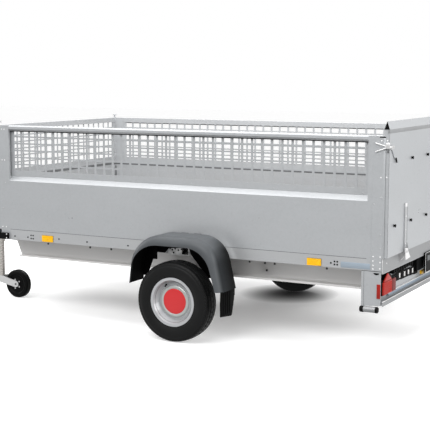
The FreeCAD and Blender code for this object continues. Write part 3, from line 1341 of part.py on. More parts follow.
def make_trailer():
    """Makes every piece and returns them in a list."""
    pieces = [
        make_side_rails("side_rails"),
        make_chassis_members("chassis_members"),
        make_crossmembers("crossmembers"),
        make_front_sill("front_sill"),
        make_rear_sill("rear_sill"),
        make_floor("floor_panel"),
        make_drawbar_arms("drawbar_arms"),
        make_nose_plate("drawbar_nose_plate"),
        make_coupling("coupling_body"),
        make_coupling_handle("coupling_handle"),
        make_axle_beam("axle_beam"),
        make_swing_arms("swing_arms"),
        make_corner_posts("corner_posts"),
        make_side_walls("side_walls"),
        make_side_grilles("side_grilles"),
        make_front_wall("front_wall"),
        make_front_grille("front_grille"),
        make_tailgate("tailgate"),
        make_tailgate_caps("tailgate_caps"),
        make_hinge_straps("hinge_straps"),
        make_hinge_tongues("hinge_tongues"),
        make_latches("latches"),
        make_light_carrier("light_carrier"),
        make_tail_lamps("tail_lamps"),
        make_plate_base("plate_base"),
        make_corner_rollers("corner_rollers"),
        make_side_reflectors("side_reflectors"),
        make_front_markers("front_markers"),
        make_mud_flaps("mud_flaps"),
        make_fender_brackets("fender_brackets"),
        make_jockey_outer_tube("jockey_outer_tube"),
        make_jockey_clamp("jockey_clamp"),
        make_jockey_crank("jockey_crank"),
        make_jockey_inner_tube("jockey_inner_tube"),
        make_jockey_fork("jockey_fork"),
        make_jockey_wheel("jockey_wheel"),
    ]
    makers = (
        ("hub", make_hub), ("rim", make_rim), ("tyre", make_tyre),
        ("wheel_cap", make_wheel_cap), ("fender", make_fender),
    )
    for name, maker in makers:
        for word, side in SIDES:
            pieces.append(maker(f"{name}_{word}", side))
    return pieces


def check_and_write(pieces):
    """Writes one STEP file per piece, once every object has proved sound."""
    document.recompute()
    for item in document.Objects:
        if "Invalid" in item.State or "Error" in item.State:
            raise RuntimeError(f"{item.Name} has failed: {item.State}")
    os.makedirs("parts", exist_ok=True)
    for piece in pieces:
        shape = piece.Shape
        if shape.isNull() or not shape.isValid() or not shape.Solids:
            raise RuntimeError(f"{piece.Label} is not a sound solid")
        shape.exportStep(f"parts/{piece.Label}.step")
        print(f"{piece.Label}: {len(shape.Solids)} solid(s), {shape.Volume / 1e6:.2f} litres")


check_and_write(make_trailer())
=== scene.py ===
# %% [markdown]
# # A galvanised box trailer
#
# The trailer's rails, walls, wheels and hinges arrive from CAD as a fixed frame, each at its real
# size and place. This lesson gives every one of them its finish, and adds what a person sees from
# a step away: tyre tread, wheel bolts, rivets, lamp lenses, knobs and the folded edges of sheet.

# %% Load the frame
import math
import random

import bmesh
import bpy
from mathutils import Matrix, Vector


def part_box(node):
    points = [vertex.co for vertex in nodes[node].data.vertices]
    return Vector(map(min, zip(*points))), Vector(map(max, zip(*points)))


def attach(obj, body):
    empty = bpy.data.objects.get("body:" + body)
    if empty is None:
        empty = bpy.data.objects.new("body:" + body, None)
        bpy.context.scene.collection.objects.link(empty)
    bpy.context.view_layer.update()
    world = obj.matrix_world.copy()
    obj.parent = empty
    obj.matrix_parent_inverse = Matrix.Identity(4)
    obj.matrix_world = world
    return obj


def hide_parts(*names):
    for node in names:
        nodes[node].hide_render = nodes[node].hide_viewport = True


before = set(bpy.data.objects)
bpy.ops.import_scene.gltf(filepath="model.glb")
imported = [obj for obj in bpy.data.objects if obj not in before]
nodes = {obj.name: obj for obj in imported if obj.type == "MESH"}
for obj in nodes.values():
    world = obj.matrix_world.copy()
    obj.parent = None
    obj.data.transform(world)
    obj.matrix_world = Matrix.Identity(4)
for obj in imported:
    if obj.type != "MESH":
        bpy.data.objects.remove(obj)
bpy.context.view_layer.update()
chance = random.Random(12)

# %% [markdown]
# A trailer builder measures from the axle. The places below are therefore millimetres from the
# axle's middle on the ground, with x forwards, y to the left and z up. One function turns such a
# place into the frame's metres, so the numbers stay the ones on a workshop drawing. Another gives
# a CAD node's box in the same millimetres.

# %% Places in millimetres from the axle
MM = 0.001
LEFT, RIGHT = 1, -1
BOTH = (LEFT, RIGHT)
SIDES = ((LEFT, "left"), (RIGHT, "right"))
BACK, FRONT, UP = (-1, 0, 0), (1, 0, 0), (0, 0, 1)
AXLE_X = sum(corner.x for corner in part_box("tyre_left")) / 2


def spot(x, y, z):
    """A place in millimetres from the axle, as a vector in the frame's metres."""
    return Vector((AXLE_X + x * MM, y * MM, z * MM))


def spots(places, side=LEFT):
    """Several places at once. Their y is mirrored for the right side."""
    return [spot(x, side * y, z) for x, y, z in places]


def node_box(name):
    """The x, y and z pairs of a CAD node's box, in millimetres from the axle."""
    low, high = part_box(name)
    return [((low.x - AXLE_X) / MM, (high.x - AXLE_X) / MM),
            (low.y / MM, high.y / MM), (low.z / MM, high.z / MM)]


WHEEL_Y, AXLE_Z = (sum(pair) / 2 for pair in node_box("tyre_left")[1:])
WALL_OUT = node_box("side_walls")[1][1]
MEMBER_FACE = 640
TAILGATE_BACK = node_box("tailgate")[0][0]
SILL_BACK = node_box("rear_sill")[0][0]
print("axle at x", round(AXLE_X, 4), "wheel centre", WHEEL_Y, AXLE_Z)

# %% [markdown]
# ## The studio
#
# The photograph was taken with a long lens from behind the left wheel, a little above the side
# wall. The lens, the place and the angles were found by fitting the trailer's straight edges.
# A long lens keeps the rows of grille holes almost parallel.

# %% Camera
CAMERA_PLACE = (-4.4891, 7.3727, 1.8056)
VIEW_TURN, VIEW_DOWN = math.radians(28.21), math.radians(7.30)
IMAGE_SIDE, FOCUS_PIXELS = 430, 1113.83

looking = Vector((math.sin(VIEW_TURN) * math.cos(VIEW_DOWN),
                  -math.cos(VIEW_TURN) * math.cos(VIEW_DOWN), -math.sin(VIEW_DOWN)))
camera_data = bpy.data.cameras.new("photo_camera")
camera_data.sensor_width = 36
camera_data.lens = FOCUS_PIXELS / IMAGE_SIDE * camera_data.sensor_width
camera_data.clip_end = 200
camera = bpy.data.objects.new("photo_camera", camera_data)
camera.location = CAMERA_PLACE
camera.rotation_euler = looking.to_track_quat("-Z", "Y").to_euler()
bpy.context.scene.collection.objects.link(camera)
bpy.context.scene.camera = camera
bpy.context.scene.view_settings.view_transform = "Standard"
print("lens", round(camera_data.lens, 2), "mm")

# %% [markdown]
# Shader sums are easier to read as sums. This small class wraps a socket that holds a number, and
# each operator adds the Math node that does it. A plain number may stand on either side.


# %% Numbers that change over a surface
class Amount:
    """A number from a shader socket, for use in ordinary sums."""

    def __init__(self, tree, socket):
        self.tree = tree
        self.socket = socket

    def _join(self, operation, first, second, limit=False):
        node = self.tree.nodes.new("ShaderNodeMath")
        node.operation = operation
        node.use_clamp = limit
        for entry, term in zip(node.inputs, (first, second)):
            if isinstance(term, Amount):
                self.tree.links.new(term.socket, entry)
            else:
                entry.default_value = term
        return Amount(self.tree, node.outputs[0])

    def __add__(self, other):
        return self._join("ADD", self, other)

    def __radd__(self, other):
        return self._join("ADD", other, self)

    def __sub__(self, other):
        return self._join("SUBTRACT", self, other)

    def __rsub__(self, other):
        return self._join("SUBTRACT", other, self)

    def __mul__(self, other):
        return self._join("MULTIPLY", self, other)

    def __rmul__(self, other):
        return self._join("MULTIPLY", other, self)

    def above(self, start, end):
        """0 below start, 1 above end and a straight line between them."""
        return self._join("MULTIPLY", self - start, 1 / (end - start), limit=True)


# %% [markdown]
# A finish is one material. Its pattern is read from Object coordinates, so it stays at its real
# size in metres on every piece, and each node comes from one method.


# %% Finishes
class Finish:
    """A material whose nodes are added by name around one Principled shader."""

    def __init__(self, name, roughness=0.5, metallic=0.0, coat=0.0, gloss=0.5):
        self.material = bpy.data.materials.new(name)
        self.material.use_nodes = True
        self.tree = self.material.node_tree
        self.shader = self.tree.nodes["Principled BSDF"]
        for entry, value in {"Roughness": roughness, "Metallic": metallic, "Coat Weight": coat,
                             "Coat Roughness": 0.12, "Specular IOR Level": gloss}.items():
            self.shader.inputs[entry].default_value = value
        self.place = self.node("TexCoord").outputs["Object"]

    def node(self, kind, settings=None, sockets=None):
        """A node of a kind, with its settings first and then its sockets' values or links."""
        made = self.tree.nodes.new("ShaderNode" + kind)
        for key, setting in (settings or {}).items():
            setattr(made, key, setting)
        for key, value in (sockets or {}).items():
            value = value.socket if isinstance(value, Amount) else value
            if isinstance(value, bpy.types.NodeSocket):
                self.tree.links.new(value, made.inputs[key])
            else:
                made.inputs[key].default_value = value
        return made

    def split(self, vector):
        """The x, y and z of a vector, each as an amount."""
        parts = self.node("SeparateXYZ", sockets={"Vector": vector}).outputs
        return [Amount(self.tree, part) for part in parts]

    def cloud(self, size, detail=3.0, stretch=(1, 1, 1)):
        """Soft noise whose spots are about size metres wide, with its axes scaled."""
        place = self.node("Mapping", sockets={"Vector": self.place, "Scale": stretch})
        made = self.node("TexNoise", sockets={
            "Vector": place.outputs[0], "Scale": 1 / size, "Detail": detail})
        return Amount(self.tree, made.outputs[0])

    def crystals(self, size):
        """A random number for each zinc crystal of about size metres."""
        made = self.node("TexVoronoi", sockets={"Vector": self.place, "Scale": 1 / size})
        parts = self.node("SeparateColor", sockets={"Color": made.outputs["Color"]})
        return Amount(self.tree, parts.outputs[0])

    def mixed(self, first, second, share):
        """A colour between two, by a share from 0 to 1."""
        made = self.node("Mix", {"data_type": "RGBA"}, {0: share, 6: first, 7: second})
        return made.outputs[2]

    def wear(self, colour=None, roughness=None, bump=None, depth=0.0005):
        """Links what changes over the surface to the shader."""
        if colour is not None:
            self.tree.links.new(colour, self.shader.inputs["Base Color"])
        if roughness is not None:
            self.tree.links.new(roughness.socket, self.shader.inputs["Roughness"])
        if bump is not None:
            made = self.node("Bump", sockets={"Height": bump, "Distance": depth})
            self.tree.links.new(made.outputs[0], self.shader.inputs["Normal"])
        return self.material


def grey(level, warm=0.0):
    """A grey as a colour, a little warmer or cooler."""
    return (level * (1 + warm), level, level * (1 - warm), 1.0)


def ray_kinds(tree):
    """What a shader knows of its ray: from the camera, mirrored, or passed through."""
    rays = tree.nodes.new("ShaderNodeLightPath").outputs
    return [Amount(tree, rays[f"Is {kind} Ray"]) for kind in ("Camera", "Glossy", "Transmission")]


print("mid grey:", grey(0.5))

# %% [markdown]
# The ground is a wide pale sheet under soft lamps. It is pale to the camera, keeps the soft shadow
# beside the trailer, carries a painted contact shadow at the foot of the far wheel, and glows to
# plain white further off. What it throws back on the trailer stays low, so that the walls are as
# bright inside as outside.

# %% Ground
GLOW_NEAR, GLOW_FAR, GLOW_MIRRORED = 0.22, 0.70, 0.55
GROUND_SEEN, GROUND_THROWN, CONTACT_SHADOW_GREY = 0.72, 0.30, 0.03
GLOW_MIDDLE, GLOW_REACH = (-0.45, -0.4), (0.3, 2.7)
# The painted contact shadow lies round a point by the far wheel's foot.
CONTACT_SHADOW_MIDDLE, CONTACT_SHADOW_REACH = (AXLE_X, -0.87), (0.02, 0.42)
ground_mesh = bmesh.new()
bmesh.ops.create_grid(ground_mesh, x_segments=2, y_segments=2, size=40)
ground_data = bpy.data.meshes.new("ground")
ground_mesh.to_mesh(ground_data)
ground_mesh.free()
ground = bpy.data.objects.new("ground", ground_data)
bpy.context.scene.collection.objects.link(ground)
pale = Finish("pale_ground", roughness=0.9)
seen, mirrored, through = ray_kinds(pale.tree)


def ground_distance(x, y):
    """How far a place on the ground is from a point, in metres."""
    return Amount(pale.tree, pale.node("VectorMath", {"operation": "DISTANCE"}, {
        0: pale.place, 1: (x, y, 0)}).outputs["Value"])


# Painted contact shadow: near that point the ground's colour and its glow fall towards dark grey.
from_contact_shadow = ground_distance(*CONTACT_SHADOW_MIDDLE).above(*CONTACT_SHADOW_REACH)
outside_contact_shadow = from_contact_shadow * from_contact_shadow
spread = ground_distance(*GLOW_MIDDLE).above(*GLOW_REACH) * (GLOW_FAR - GLOW_NEAR) + GLOW_NEAR
glow = seen * (spread * outside_contact_shadow) + (mirrored + through).above(0, 1) * GLOW_MIRRORED
ground_colour = pale.mixed(grey(GROUND_THROWN), grey(GROUND_SEEN), seen)
pale.wear(pale.mixed(grey(CONTACT_SHADOW_GREY), ground_colour, outside_contact_shadow))
pale.shader.inputs["Emission Color"].default_value = grey(1.0)
pale.tree.links.new(glow.socket, pale.shader.inputs["Emission Strength"])
ground_data.materials.append(pale.material)
print("ground glow from", GLOW_NEAR, "to", GLOW_FAR)

# %% [markdown]
# The world gives even light, and a bright white only where the camera or a reflection looks at
# it, so the background is white without more light on the trailer.

# %% World
SKY_LIGHT = 0.30
world = bpy.data.worlds.new("studio")
bpy.context.scene.world = world
world.use_nodes = True
sky = world.node_tree.nodes["Background"]
seen, mirrored, through = ray_kinds(world.node_tree)
level = (seen + mirrored + through).above(0, 1) * (1 - SKY_LIGHT) + SKY_LIGHT
sky.inputs["Color"].default_value = grey(1.0)
world.node_tree.links.new(level.socket, sky.inputs["Strength"])
print("sky light", SKY_LIGHT)

# %% [markdown]
# Large soft lamps: one overhead, which makes the folded edges bright, one high above the camera,
# which reaches over the near wall into the load space, a faint one over the deck, which lifts the
# inner walls, and one on each other side, so that the trailer looks right from all round.


# %% Lamps
def add_lamp(name, place, target, power, width, height):
    """A soft area lamp that faces a target."""
    data = bpy.data.lights.new(name, "AREA")
    data.shape = "RECTANGLE"
    data.size, data.size_y = width, height
    data.energy = power
    lamp = bpy.data.objects.new(name, data)
    lamp.location = place
    lamp.rotation_euler = (Vector(target) - Vector(place)).to_track_quat("-Z", "Y").to_euler()
    lamp.visible_camera = False
    bpy.context.scene.collection.objects.link(lamp)


add_lamp("overhead", (0.8, 1.5, 5.0), (0.8, 1.2, 0), 150, 8, 1.8)
add_lamp("above_camera", (-0.5, 6.0, 5.5), (0, 0, 0.8), 410, 6, 3)
add_lamp("far_side", (0.5, -6.5, 5.5), (0, 0, 0.8), 330, 6, 3)
add_lamp("before_coupling", (7.0, 0.5, 3.5), (1.5, 0, 0.6), 160, 4, 3)
add_lamp("over_the_deck", (-0.65, 0.2, 2.7), (-0.55, -0.5, 0.8), 44, 2.8, 0.5)
add_lamp("behind_tailgate", (-7.5, 1.0, 2.6), (-1.5, 0, 0.8), 390, 4, 4)

# %% [markdown]
# ## The finishes
#
# Hot-dip galvanised sheet is dull grey. Its zinc crystals show as faint patches of different
# grey, each about a centimetre across, and rain and handling leave soft clouds on top.


# %% Zinc
def zinc(name, level, roughness, crystal=0.011, warm=0.0, shine=0.3, clouds=0.06, grain=0.35,
         shade_heights=None):
    """Galvanised steel of a given grey. Grain is how much its crystals show. A pair of heights,
    when given, paints a shade that makes it darker upwards between them."""
    finish = Finish(name, metallic=shine)
    patch = finish.crystals(crystal)
    haze = finish.cloud(0.35, stretch=(1, 1, 2.5))
    scuff = finish.cloud(0.02, detail=6).above(0.62, 0.74)
    share = patch * grain + haze * (1 - grain)
    colour = finish.mixed(
        grey(level * (1 - clouds), warm), grey(level * (1 + clouds), warm), share)
    scuffed_and_shaded = finish.mixed(colour, grey(level * 0.8, warm), scuff * grain)
    # Painted shade: darker upwards between the two heights.
    if shade_heights:
        height = finish.split(finish.place)[2]
        scuffed_and_shaded = finish.mixed(scuffed_and_shaded, grey(level * 0.74, warm), height.above(*shade_heights))
    satin = patch * (grain * 0.3) + haze * 0.10 + (roughness - 0.10) + scuff * 0.1
    return finish.wear(scuffed_and_shaded, satin, patch * 0.5 + finish.cloud(0.004) * 0.5, depth=grain * 0.0003)


zinc_sheet = zinc("zinc_sheet", 0.41, 0.34, warm=-0.03)
zinc_frame = zinc("zinc_frame", 0.42, 0.38, crystal=0.016, warm=-0.02, clouds=0.08, grain=0.12)
# The long members get a painted shade towards their tops, under the rail.
zinc_member = zinc(
    "zinc_member", 0.82, 0.36, crystal=0.02, warm=0.012, shine=0.15, clouds=0.05, grain=0.03,
    shade_heights=(0.42, 0.55))
# A darker copy of the zinc, a painted shade for the rear sill under the tailgate and for the strip
# in the tailgate's recess. The carrier's lip, the tube ends and the crank take it too.
zinc_shaded = zinc("zinc_shaded", 0.26, 0.42, crystal=0.012, warm=-0.02, clouds=0.14, grain=0.3)
zinc_fitting = zinc("zinc_fitting", 0.56, 0.34, crystal=0.006, shine=0.75)
zinc_tube = zinc("zinc_tube", 0.42, 0.30, crystal=0.006, warm=0.06, shine=0.55, grain=0.1)
zinc_bright = zinc("zinc_bright", 0.74, 0.36, crystal=0.006, shine=0.2, grain=0.1)
print("zinc finishes:", [m.name for m in bpy.data.materials if m.name.startswith("zinc_")])

# %% [markdown]
# Moulded plastic has a fine grain and a broad soft shine. Rubber is duller and a little dusty in
# its hollows. Both start from one recipe, because only the grain and the dust differ. Paint has a
# slight orange peel. A fender is one moulding, and yet it looks grey outside and black inside, so
# its shader asks which way the surface faces and paints the shade: near black where it looks at the
# wheel, dark where it looks backwards.


# %% Plastic, rubber and paint
def moulded(name, level, roughness, grain=0.0015, depth=0.0001, dust=0.25, gloss=0.5):
    """Plastic or rubber with a fine grain and faint dust."""
    warm = -0.03
    finish = Finish(name, gloss=gloss)
    bloom = finish.cloud(0.12, detail=4)
    speck = finish.cloud(grain, detail=2)
    colour = finish.mixed(
        grey(level * (1 - dust), warm), grey(level * (1 + dust), warm), bloom)
    return finish.wear(colour, bloom * 0.12 + (roughness - 0.06), speck, depth)


def painted(name, colour, roughness, shade=0.9, metallic=0.0, coat=0.4, gloss=0.5):
    """Paint with a slight orange peel and faint patches."""
    finish = Finish(name, metallic=metallic, coat=coat, gloss=gloss)
    patchy = finish.cloud(0.08, detail=3)
    peel = finish.cloud(0.003, detail=1)
    dark = tuple(part * shade for part in colour)
    mixed = finish.mixed(dark + (1.0,), colour + (1.0,), patchy)
    return finish.wear(mixed, patchy * 0.1 + (roughness - 0.05), peel, depth=0.00008)


def fender_shell(name, level, roughness):
    """Grey-black plastic with painted shade: near black where it looks at the wheel, dark where it
    looks backwards, and near black where it looks backwards near its inner edge.
    """
    finish = Finish(name, gloss=0.16)
    bloom = finish.cloud(0.12, detail=4)
    way_x, way_y, way_z = finish.split(finish.node("NewGeometry").outputs["Normal"])
    x, y, z = finish.split(finish.place)
    side = y.above(-0.01, 0.01) * 2 - 1
    outward = way_x * (x - AXLE_X) + way_z * (z - AXLE_Z * MM) + way_y * side * 0.3
    shell = finish.mixed(grey(level * 0.88, -0.07), grey(level * 1.12, -0.07), bloom)
    # Painted shade on the hollow side, then on the faces that look backwards.
    colour = finish.mixed(grey(0.004), shell, outward.above(-0.02, 0.02))
    inner = (y * side).above(1.0, 0.88)
    behind = way_x.above(-0.7, -0.98)
    inner_rear_shade = way_x.above(-0.35, -0.85) * inner
    painted_shade_colour = finish.mixed(colour, grey(0.016, -0.12), behind)
    painted_shade_colour = finish.mixed(painted_shade_colour, grey(0.001, -0.05), inner_rear_shade)
    return finish.wear(painted_shade_colour, bloom * 0.12 + behind * 0.3 + (roughness - 0.06),
                       finish.cloud(0.002, detail=2), 0.0001)


fender_plastic = fender_shell("fender_plastic", 0.082, 0.36)
black_plastic = moulded("black_plastic", 0.003, 0.5, gloss=0.07)
housing = moulded("lamp_housing", 0.003, 0.5, gloss=0.07)
rubber = moulded("flap_rubber", 0.0025, 0.6, dust=0.35, gloss=0.04)
tyre_rubber = moulded("tyre_rubber", 0.006, 0.42, grain=0.0012, dust=0.3, gloss=0.13)
shadow_paint = painted("shadow_paint", (0.11, 0.115, 0.12), 0.5, coat=0.0)
black_paint = painted("black_paint", (0.025, 0.025, 0.027), 0.4)
cast_steel = painted("cast_steel", (0.09, 0.09, 0.095), 0.5, shade=0.75, coat=0.2)
silver_paint = painted("rim_silver", (0.46, 0.47, 0.485), 0.38, metallic=0.3)
cap_red = painted("cap_red", (0.66, 0.014, 0.018), 0.35, shade=0.97, coat=0.15)
cap_grey = painted("cap_grey", (0.42, 0.44, 0.43), 0.32, metallic=0.4)
red_lens = painted("red_lens", (0.34, 0.012, 0.006), 0.3, shade=0.85, coat=0.05, gloss=0.25)
deep_lens = painted("deep_lens", (0.14, 0.006, 0.005), 0.3, shade=0.8, coat=0.1, gloss=0.3)
amber_lens = painted("amber_lens", (1.0, 0.56, 0.0), 0.35, shade=0.97, coat=0.0)
clear_lens = painted("clear_lens", (0.72, 0.74, 0.76), 0.15, coat=0.8)
plate_blue = painted("plate_blue", (0.30, 0.36, 0.42), 0.4)
print("finishes so far:", len(bpy.data.materials))

# %% [markdown]
# The deck is birch plywood under a hard brown film. The film's pressed mesh gives it grip, and
# boots and crates leave pale scuffs along the trailer.


# %% Plywood
def film_plywood(name):
    """Brown film-faced plywood with a pressed grip mesh."""
    finish = Finish(name, roughness=0.5)
    tone = finish.cloud(0.5, detail=4, stretch=(0.3, 1.5, 1))
    scuff = finish.cloud(0.05, detail=6, stretch=(0.12, 1, 1)).above(0.58, 0.72)
    colour = finish.mixed((0.085, 0.058, 0.04, 1), (0.13, 0.095, 0.068, 1), tone)
    colour = finish.mixed(colour, (0.2, 0.16, 0.125, 1), scuff * 0.4)
    mesh = finish.node("TexVoronoi", sockets={"Vector": finish.place, "Scale": 160})
    grip = Amount(finish.tree, mesh.outputs["Distance"])
    return finish.wear(colour, scuff * 0.2 + 0.42, grip, depth=0.0008)


deck_film = film_plywood("deck_film")
print("deck:", deck_film.name)

# %% [markdown]
# Each CAD node takes the finish of its real material. The record's slots say which, and this
# table follows them with the finishes made above.

# %% Dress the CAD nodes
FINISHES = {
    zinc_sheet: ("side_walls", "front_wall", "tailgate", "side_grilles", "front_grille",
                 "corner_posts", "light_carrier"),
    zinc_frame: ("side_rails", "crossmembers", "front_sill", "swing_arms",
                 "drawbar_arms", "drawbar_nose_plate", "axle_beam", "hinge_straps"),
    zinc_member: ("chassis_members",),
    zinc_shaded: ("rear_sill", "corner_rollers", "jockey_crank"),
    zinc_fitting: ("hinge_tongues", "latches",
                   "jockey_fork", "jockey_clamp", "hub_left", "hub_right"),
    zinc_tube: ("jockey_outer_tube", "jockey_inner_tube"),
    cast_steel: ("coupling_body",),
    black_paint: ("fender_brackets",),
    silver_paint: ("rim_left", "rim_right"),
    cap_red: ("wheel_cap_left", "wheel_cap_right"),
    fender_plastic: ("fender_left", "fender_right"),
    black_plastic: ("tailgate_caps", "coupling_handle", "jockey_wheel", "plate_base"),
    housing: ("tail_lamps", "front_markers"),
    amber_lens: ("side_reflectors",),
    rubber: ("mud_flaps",),
    tyre_rubber: ("tyre_left", "tyre_right"),
    deck_film: ("floor_panel",),
}
for finish, names in FINISHES.items():
    for name in names:
        nodes[name].data.materials.clear()
        nodes[name].data.materials.append(finish)
undressed = sorted(set(nodes) - {name for names in FINISHES.values() for name in names})
print("nodes without a finish:", undressed)

# %% [markdown]
# ## Tools for new pieces
#
# Every new piece starts as a bmesh. One helper closes it: it joins doubled points, turns the faces
# outwards, makes the object, lets it move with its body and gives it its finish.

# %% From bmesh to piece
SAME_PLACE = 1e-6


def join_doubles(work):
    """Makes one point of points at the same place."""
    bmesh.ops.remove_doubles(work, verts=work.verts, dist=SAME_PLACE)


def finish_piece(name, work, body, finish, sharp=35):
    """Makes an object of a bmesh, with its faces outwards, that moves with a body."""
    join_doubles(work)
    bmesh.ops.recalc_face_normals(work, faces=work.faces)
    data = bpy.data.meshes.new(name)
    work.to_mesh(data)
    work.free()
    data.polygons.foreach_set("use_smooth", [True] * len(data.polygons))
    data.set_sharp_from_angle(angle=math.radians(sharp))
    data.materials.append(finish)
    piece = bpy.data.objects.new(name, data)
    bpy.context.scene.collection.objects.link(piece)
    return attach(piece, body)


print("same place means within", SAME_PLACE, "m")

# %% [markdown]
# Most sheet details are small blocks with rounded edges, because a real folded edge always
# catches a thin line of light. A block is given by its x, y and z pairs, and a piece may be a
# list of such blocks, mirrored to the right side.


# %% Blocks and plates
def round_edges(work, points, radius, rounds=2):
    """Rounds all edges that join some points."""
    edges = list({edge for point in points for edge in point.link_edges})
    bmesh.ops.bevel(work, geom=edges, offset=radius * MM, segments=rounds, profile=0.5,
                    affect="EDGES", material=-1)


def block_corners(xs, ys, zs, side=LEFT):
    """The lowest and the highest corner of a block."""
    ys = sorted((side * ys[0], side * ys[1]))
    return [spot(*place) for place in zip(xs, ys, zs)]


def add_block(work, xs, ys, zs, edge=0.0, rounds=2, side=LEFT):
    """A block between pairs of places, with its edges rounded."""
    low, high = block_corners(xs, ys, zs, side)
    points = bmesh.ops.create_cube(work, size=1.0)["verts"]
    bmesh.ops.scale(work, vec=high - low, verts=points)
    bmesh.ops.translate(work, vec=(low + high) / 2, verts=points)
    if edge:
        round_edges(work, points, edge, rounds)


def block_piece(name, body, finish, blocks, sides=BOTH):
    """A piece made of blocks, which are repeated on each of the sides."""
    work = bmesh.new()
    for side in sides:
        for block in blocks:
            add_block(work, *block, side=side)
    return finish_piece(name, work, body, finish)


def add_plate(work, outline, way, thickness, edge=0.0):
    """A flat plate with the given corners, made thick along a direction."""
    face = work.faces.new([work.verts.new(corner) for corner in outline])
    pulled = bmesh.ops.extrude_face_region(work, geom=[face])["geom"]
    moved = [item for item in pulled if isinstance(item, bmesh.types.BMVert)]
    bmesh.ops.translate(work, vec=Vector(way).normalized() * (thickness * MM), verts=moved)
    if edge:
        round_edges(work, list(face.verts) + moved, edge)


ONCE = (LEFT,)
print("corners of a cube:", block_corners((0, 1), (0, 1), (0, 1)))

# %% [markdown]
# Round things are turned, as on a lathe: spin takes an outline once round an axis. Small ones are
# turned once, kept as a mesh and stamped wherever they are needed.


# %% Turned shapes, bars and stamps
def add_turned(work, outline, centre, axis, steps=24):
    """Turns an outline of (place along the axis, radius) pairs, in millimetres, right round."""
    axis = Vector(axis).normalized()
    out = axis.orthogonal().normalized()
    points = [work.verts.new(centre + axis * (along * MM) + out * (radius * MM))
              for along, radius in outline]
    lines = [work.edges.new(pair) for pair in zip(points, points[1:])]
    bmesh.ops.spin(work, geom=points + lines, cent=centre, axis=axis, angle=math.tau,
                   steps=steps, use_merge=True)


def turned_piece(name, body, finish, slot, *turned):
    """A piece turned in one go, from the arguments of add_turned."""
    work = bmesh.new()
    add_turned(work, *turned)
    return finish_piece(name, work, body, finish)


def add_ball(work, place, radius):
    """A ball round a place."""
    ball = bmesh.ops.create_icosphere(work, subdivisions=2, radius=radius * MM)["verts"]
    bmesh.ops.translate(work, vec=place, verts=ball)


def add_bar(work, places, radius, steps=12):
    """A round bar through a row of places, with a ball at each bend."""
    for start, end in zip(places, places[1:]):
        length = (end - start).length / MM
        add_turned(work, ((0, 0), (0, radius), (length, radius), (length, 0)), start,
                   end - start, steps)
    for bend in places:
        add_ball(work, bend, radius)


def turned_shape(outline, steps=12):
    """A small turned mesh along z, for use as a stamp."""
    work = bmesh.new()
    add_turned(work, outline, Vector((0, 0, 0)), UP, steps)
    join_doubles(work)
    data = bpy.data.meshes.new("stamp")
    work.to_mesh(data)
    work.free()
    return data


def stamp(work, shape, places, way):
    """Copies a small mesh to each place, with its z axis along a direction."""
    turned = Vector(way).to_track_quat("Z", "X").to_matrix().to_4x4()
    for place in places:
        before = len(work.verts)
        work.from_mesh(shape)
        work.verts.ensure_lookup_table()
        bmesh.ops.transform(work, matrix=Matrix.Translation(place) @ turned,
                            verts=work.verts[before:])


def stamp_sides(work, shape, y, places):
    """Copies a small mesh to (x, z) places at a distance y on both sides, facing outwards."""
    for side in BOTH:
        stamp(work, shape, spots([(x, y, z) for x, z in places], side), (0, side, 0))


print("tools ready")

# %% [markdown]
# ## Tyres
#
# A tyre is one outline turned round the axle, so spin makes it. Its tread has four grooves round
# the tyre, which are in the outline, and cross grooves, which are faces of the finished ring
# pushed inwards. The side wall has raised rings near the rim and at the shoulder.

# %% Tyre outline
TYRE_OUTLINE = (
    (56, 163), (60, 165), (64, 169), (66, 174), (66.6, 178), (68.4, 179), (70.5, 184),
    (74, 196), (76.6, 208), (77.4, 217), (77.0, 226), (75.4, 236), (73.6, 243), (72.2, 245),
    (71.6, 251), (70, 257), (67, 263), (62.5, 267.5), (58, 270),
    (51, 271.6), (49.5, 266.5), (44.5, 267), (43, 272.4),
    (22, 274.2), (20.5, 268.2), (15, 268.4), (13.5, 274.6), (0, 275),
)
TYRE_INSIDE = ((-56, 168), (-60, 190), (-66, 215), (-58, 248), (0, 258),
               (58, 248), (66, 215), (60, 190), (56, 168))
TYRE_RING = (TYRE_OUTLINE + tuple((-along, radius) for along, radius in TYRE_OUTLINE[-2::-1])
             + TYRE_INSIDE + TYRE_OUTLINE[:1])
TREAD_STEPS = 144
GROOVE_DEPTH = 2.0
print("tyre outline points:", len(TYRE_RING))


# %% Spin the tyres and cut the tread
def make_tyre(side, word):
    """A road tyre with a blocked tread."""
    middle = spot(0, side * WHEEL_Y, AXLE_Z)
    work = bmesh.new()
    add_turned(work, TYRE_RING, middle, (0, side, 0), TREAD_STEPS)
    join_doubles(work)
    bmesh.ops.recalc_face_normals(work, faces=work.faces)
    blocks = []
    for face in work.faces:
        arm = face.calc_center_median() - middle
        radius = math.hypot(arm.x, arm.z) / MM
        across = abs(arm.y) / MM
        step = round(math.atan2(arm.z, arm.x) / math.tau * TREAD_STEPS - 0.5)
        shoulder = 58 < across < 69 and radius > 257 and step % 2 == 0
        crown = 22 < across < 43 and radius > 271 and step % 3 == 0
        middle_rib = across < 13.5 and radius > 273 and step % 3 == 1
        if shoulder or crown or middle_rib:
            blocks.append(face)
    bmesh.ops.inset_individual(work, faces=blocks, thickness=0.0012, depth=0)
    bmesh.ops.inset_individual(work, faces=blocks, thickness=0.0004, depth=-GROOVE_DEPTH * MM)
    return finish_piece("road_tyre_" + word, work, "wheel_" + word, tyre_rubber, sharp=28)


for side, word in SIDES:
    tyre = make_tyre(side, word)
    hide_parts("tyre_" + word)
    print(tyre.name, len(tyre.data.polygons), "faces")

# %% [markdown]
# ## Wheels
#
# The rim's steps come from CAD. The round cap in its middle is a grey ring with a plain red
# centre, slightly domed. The rubber valve stands out of the dish beside it.

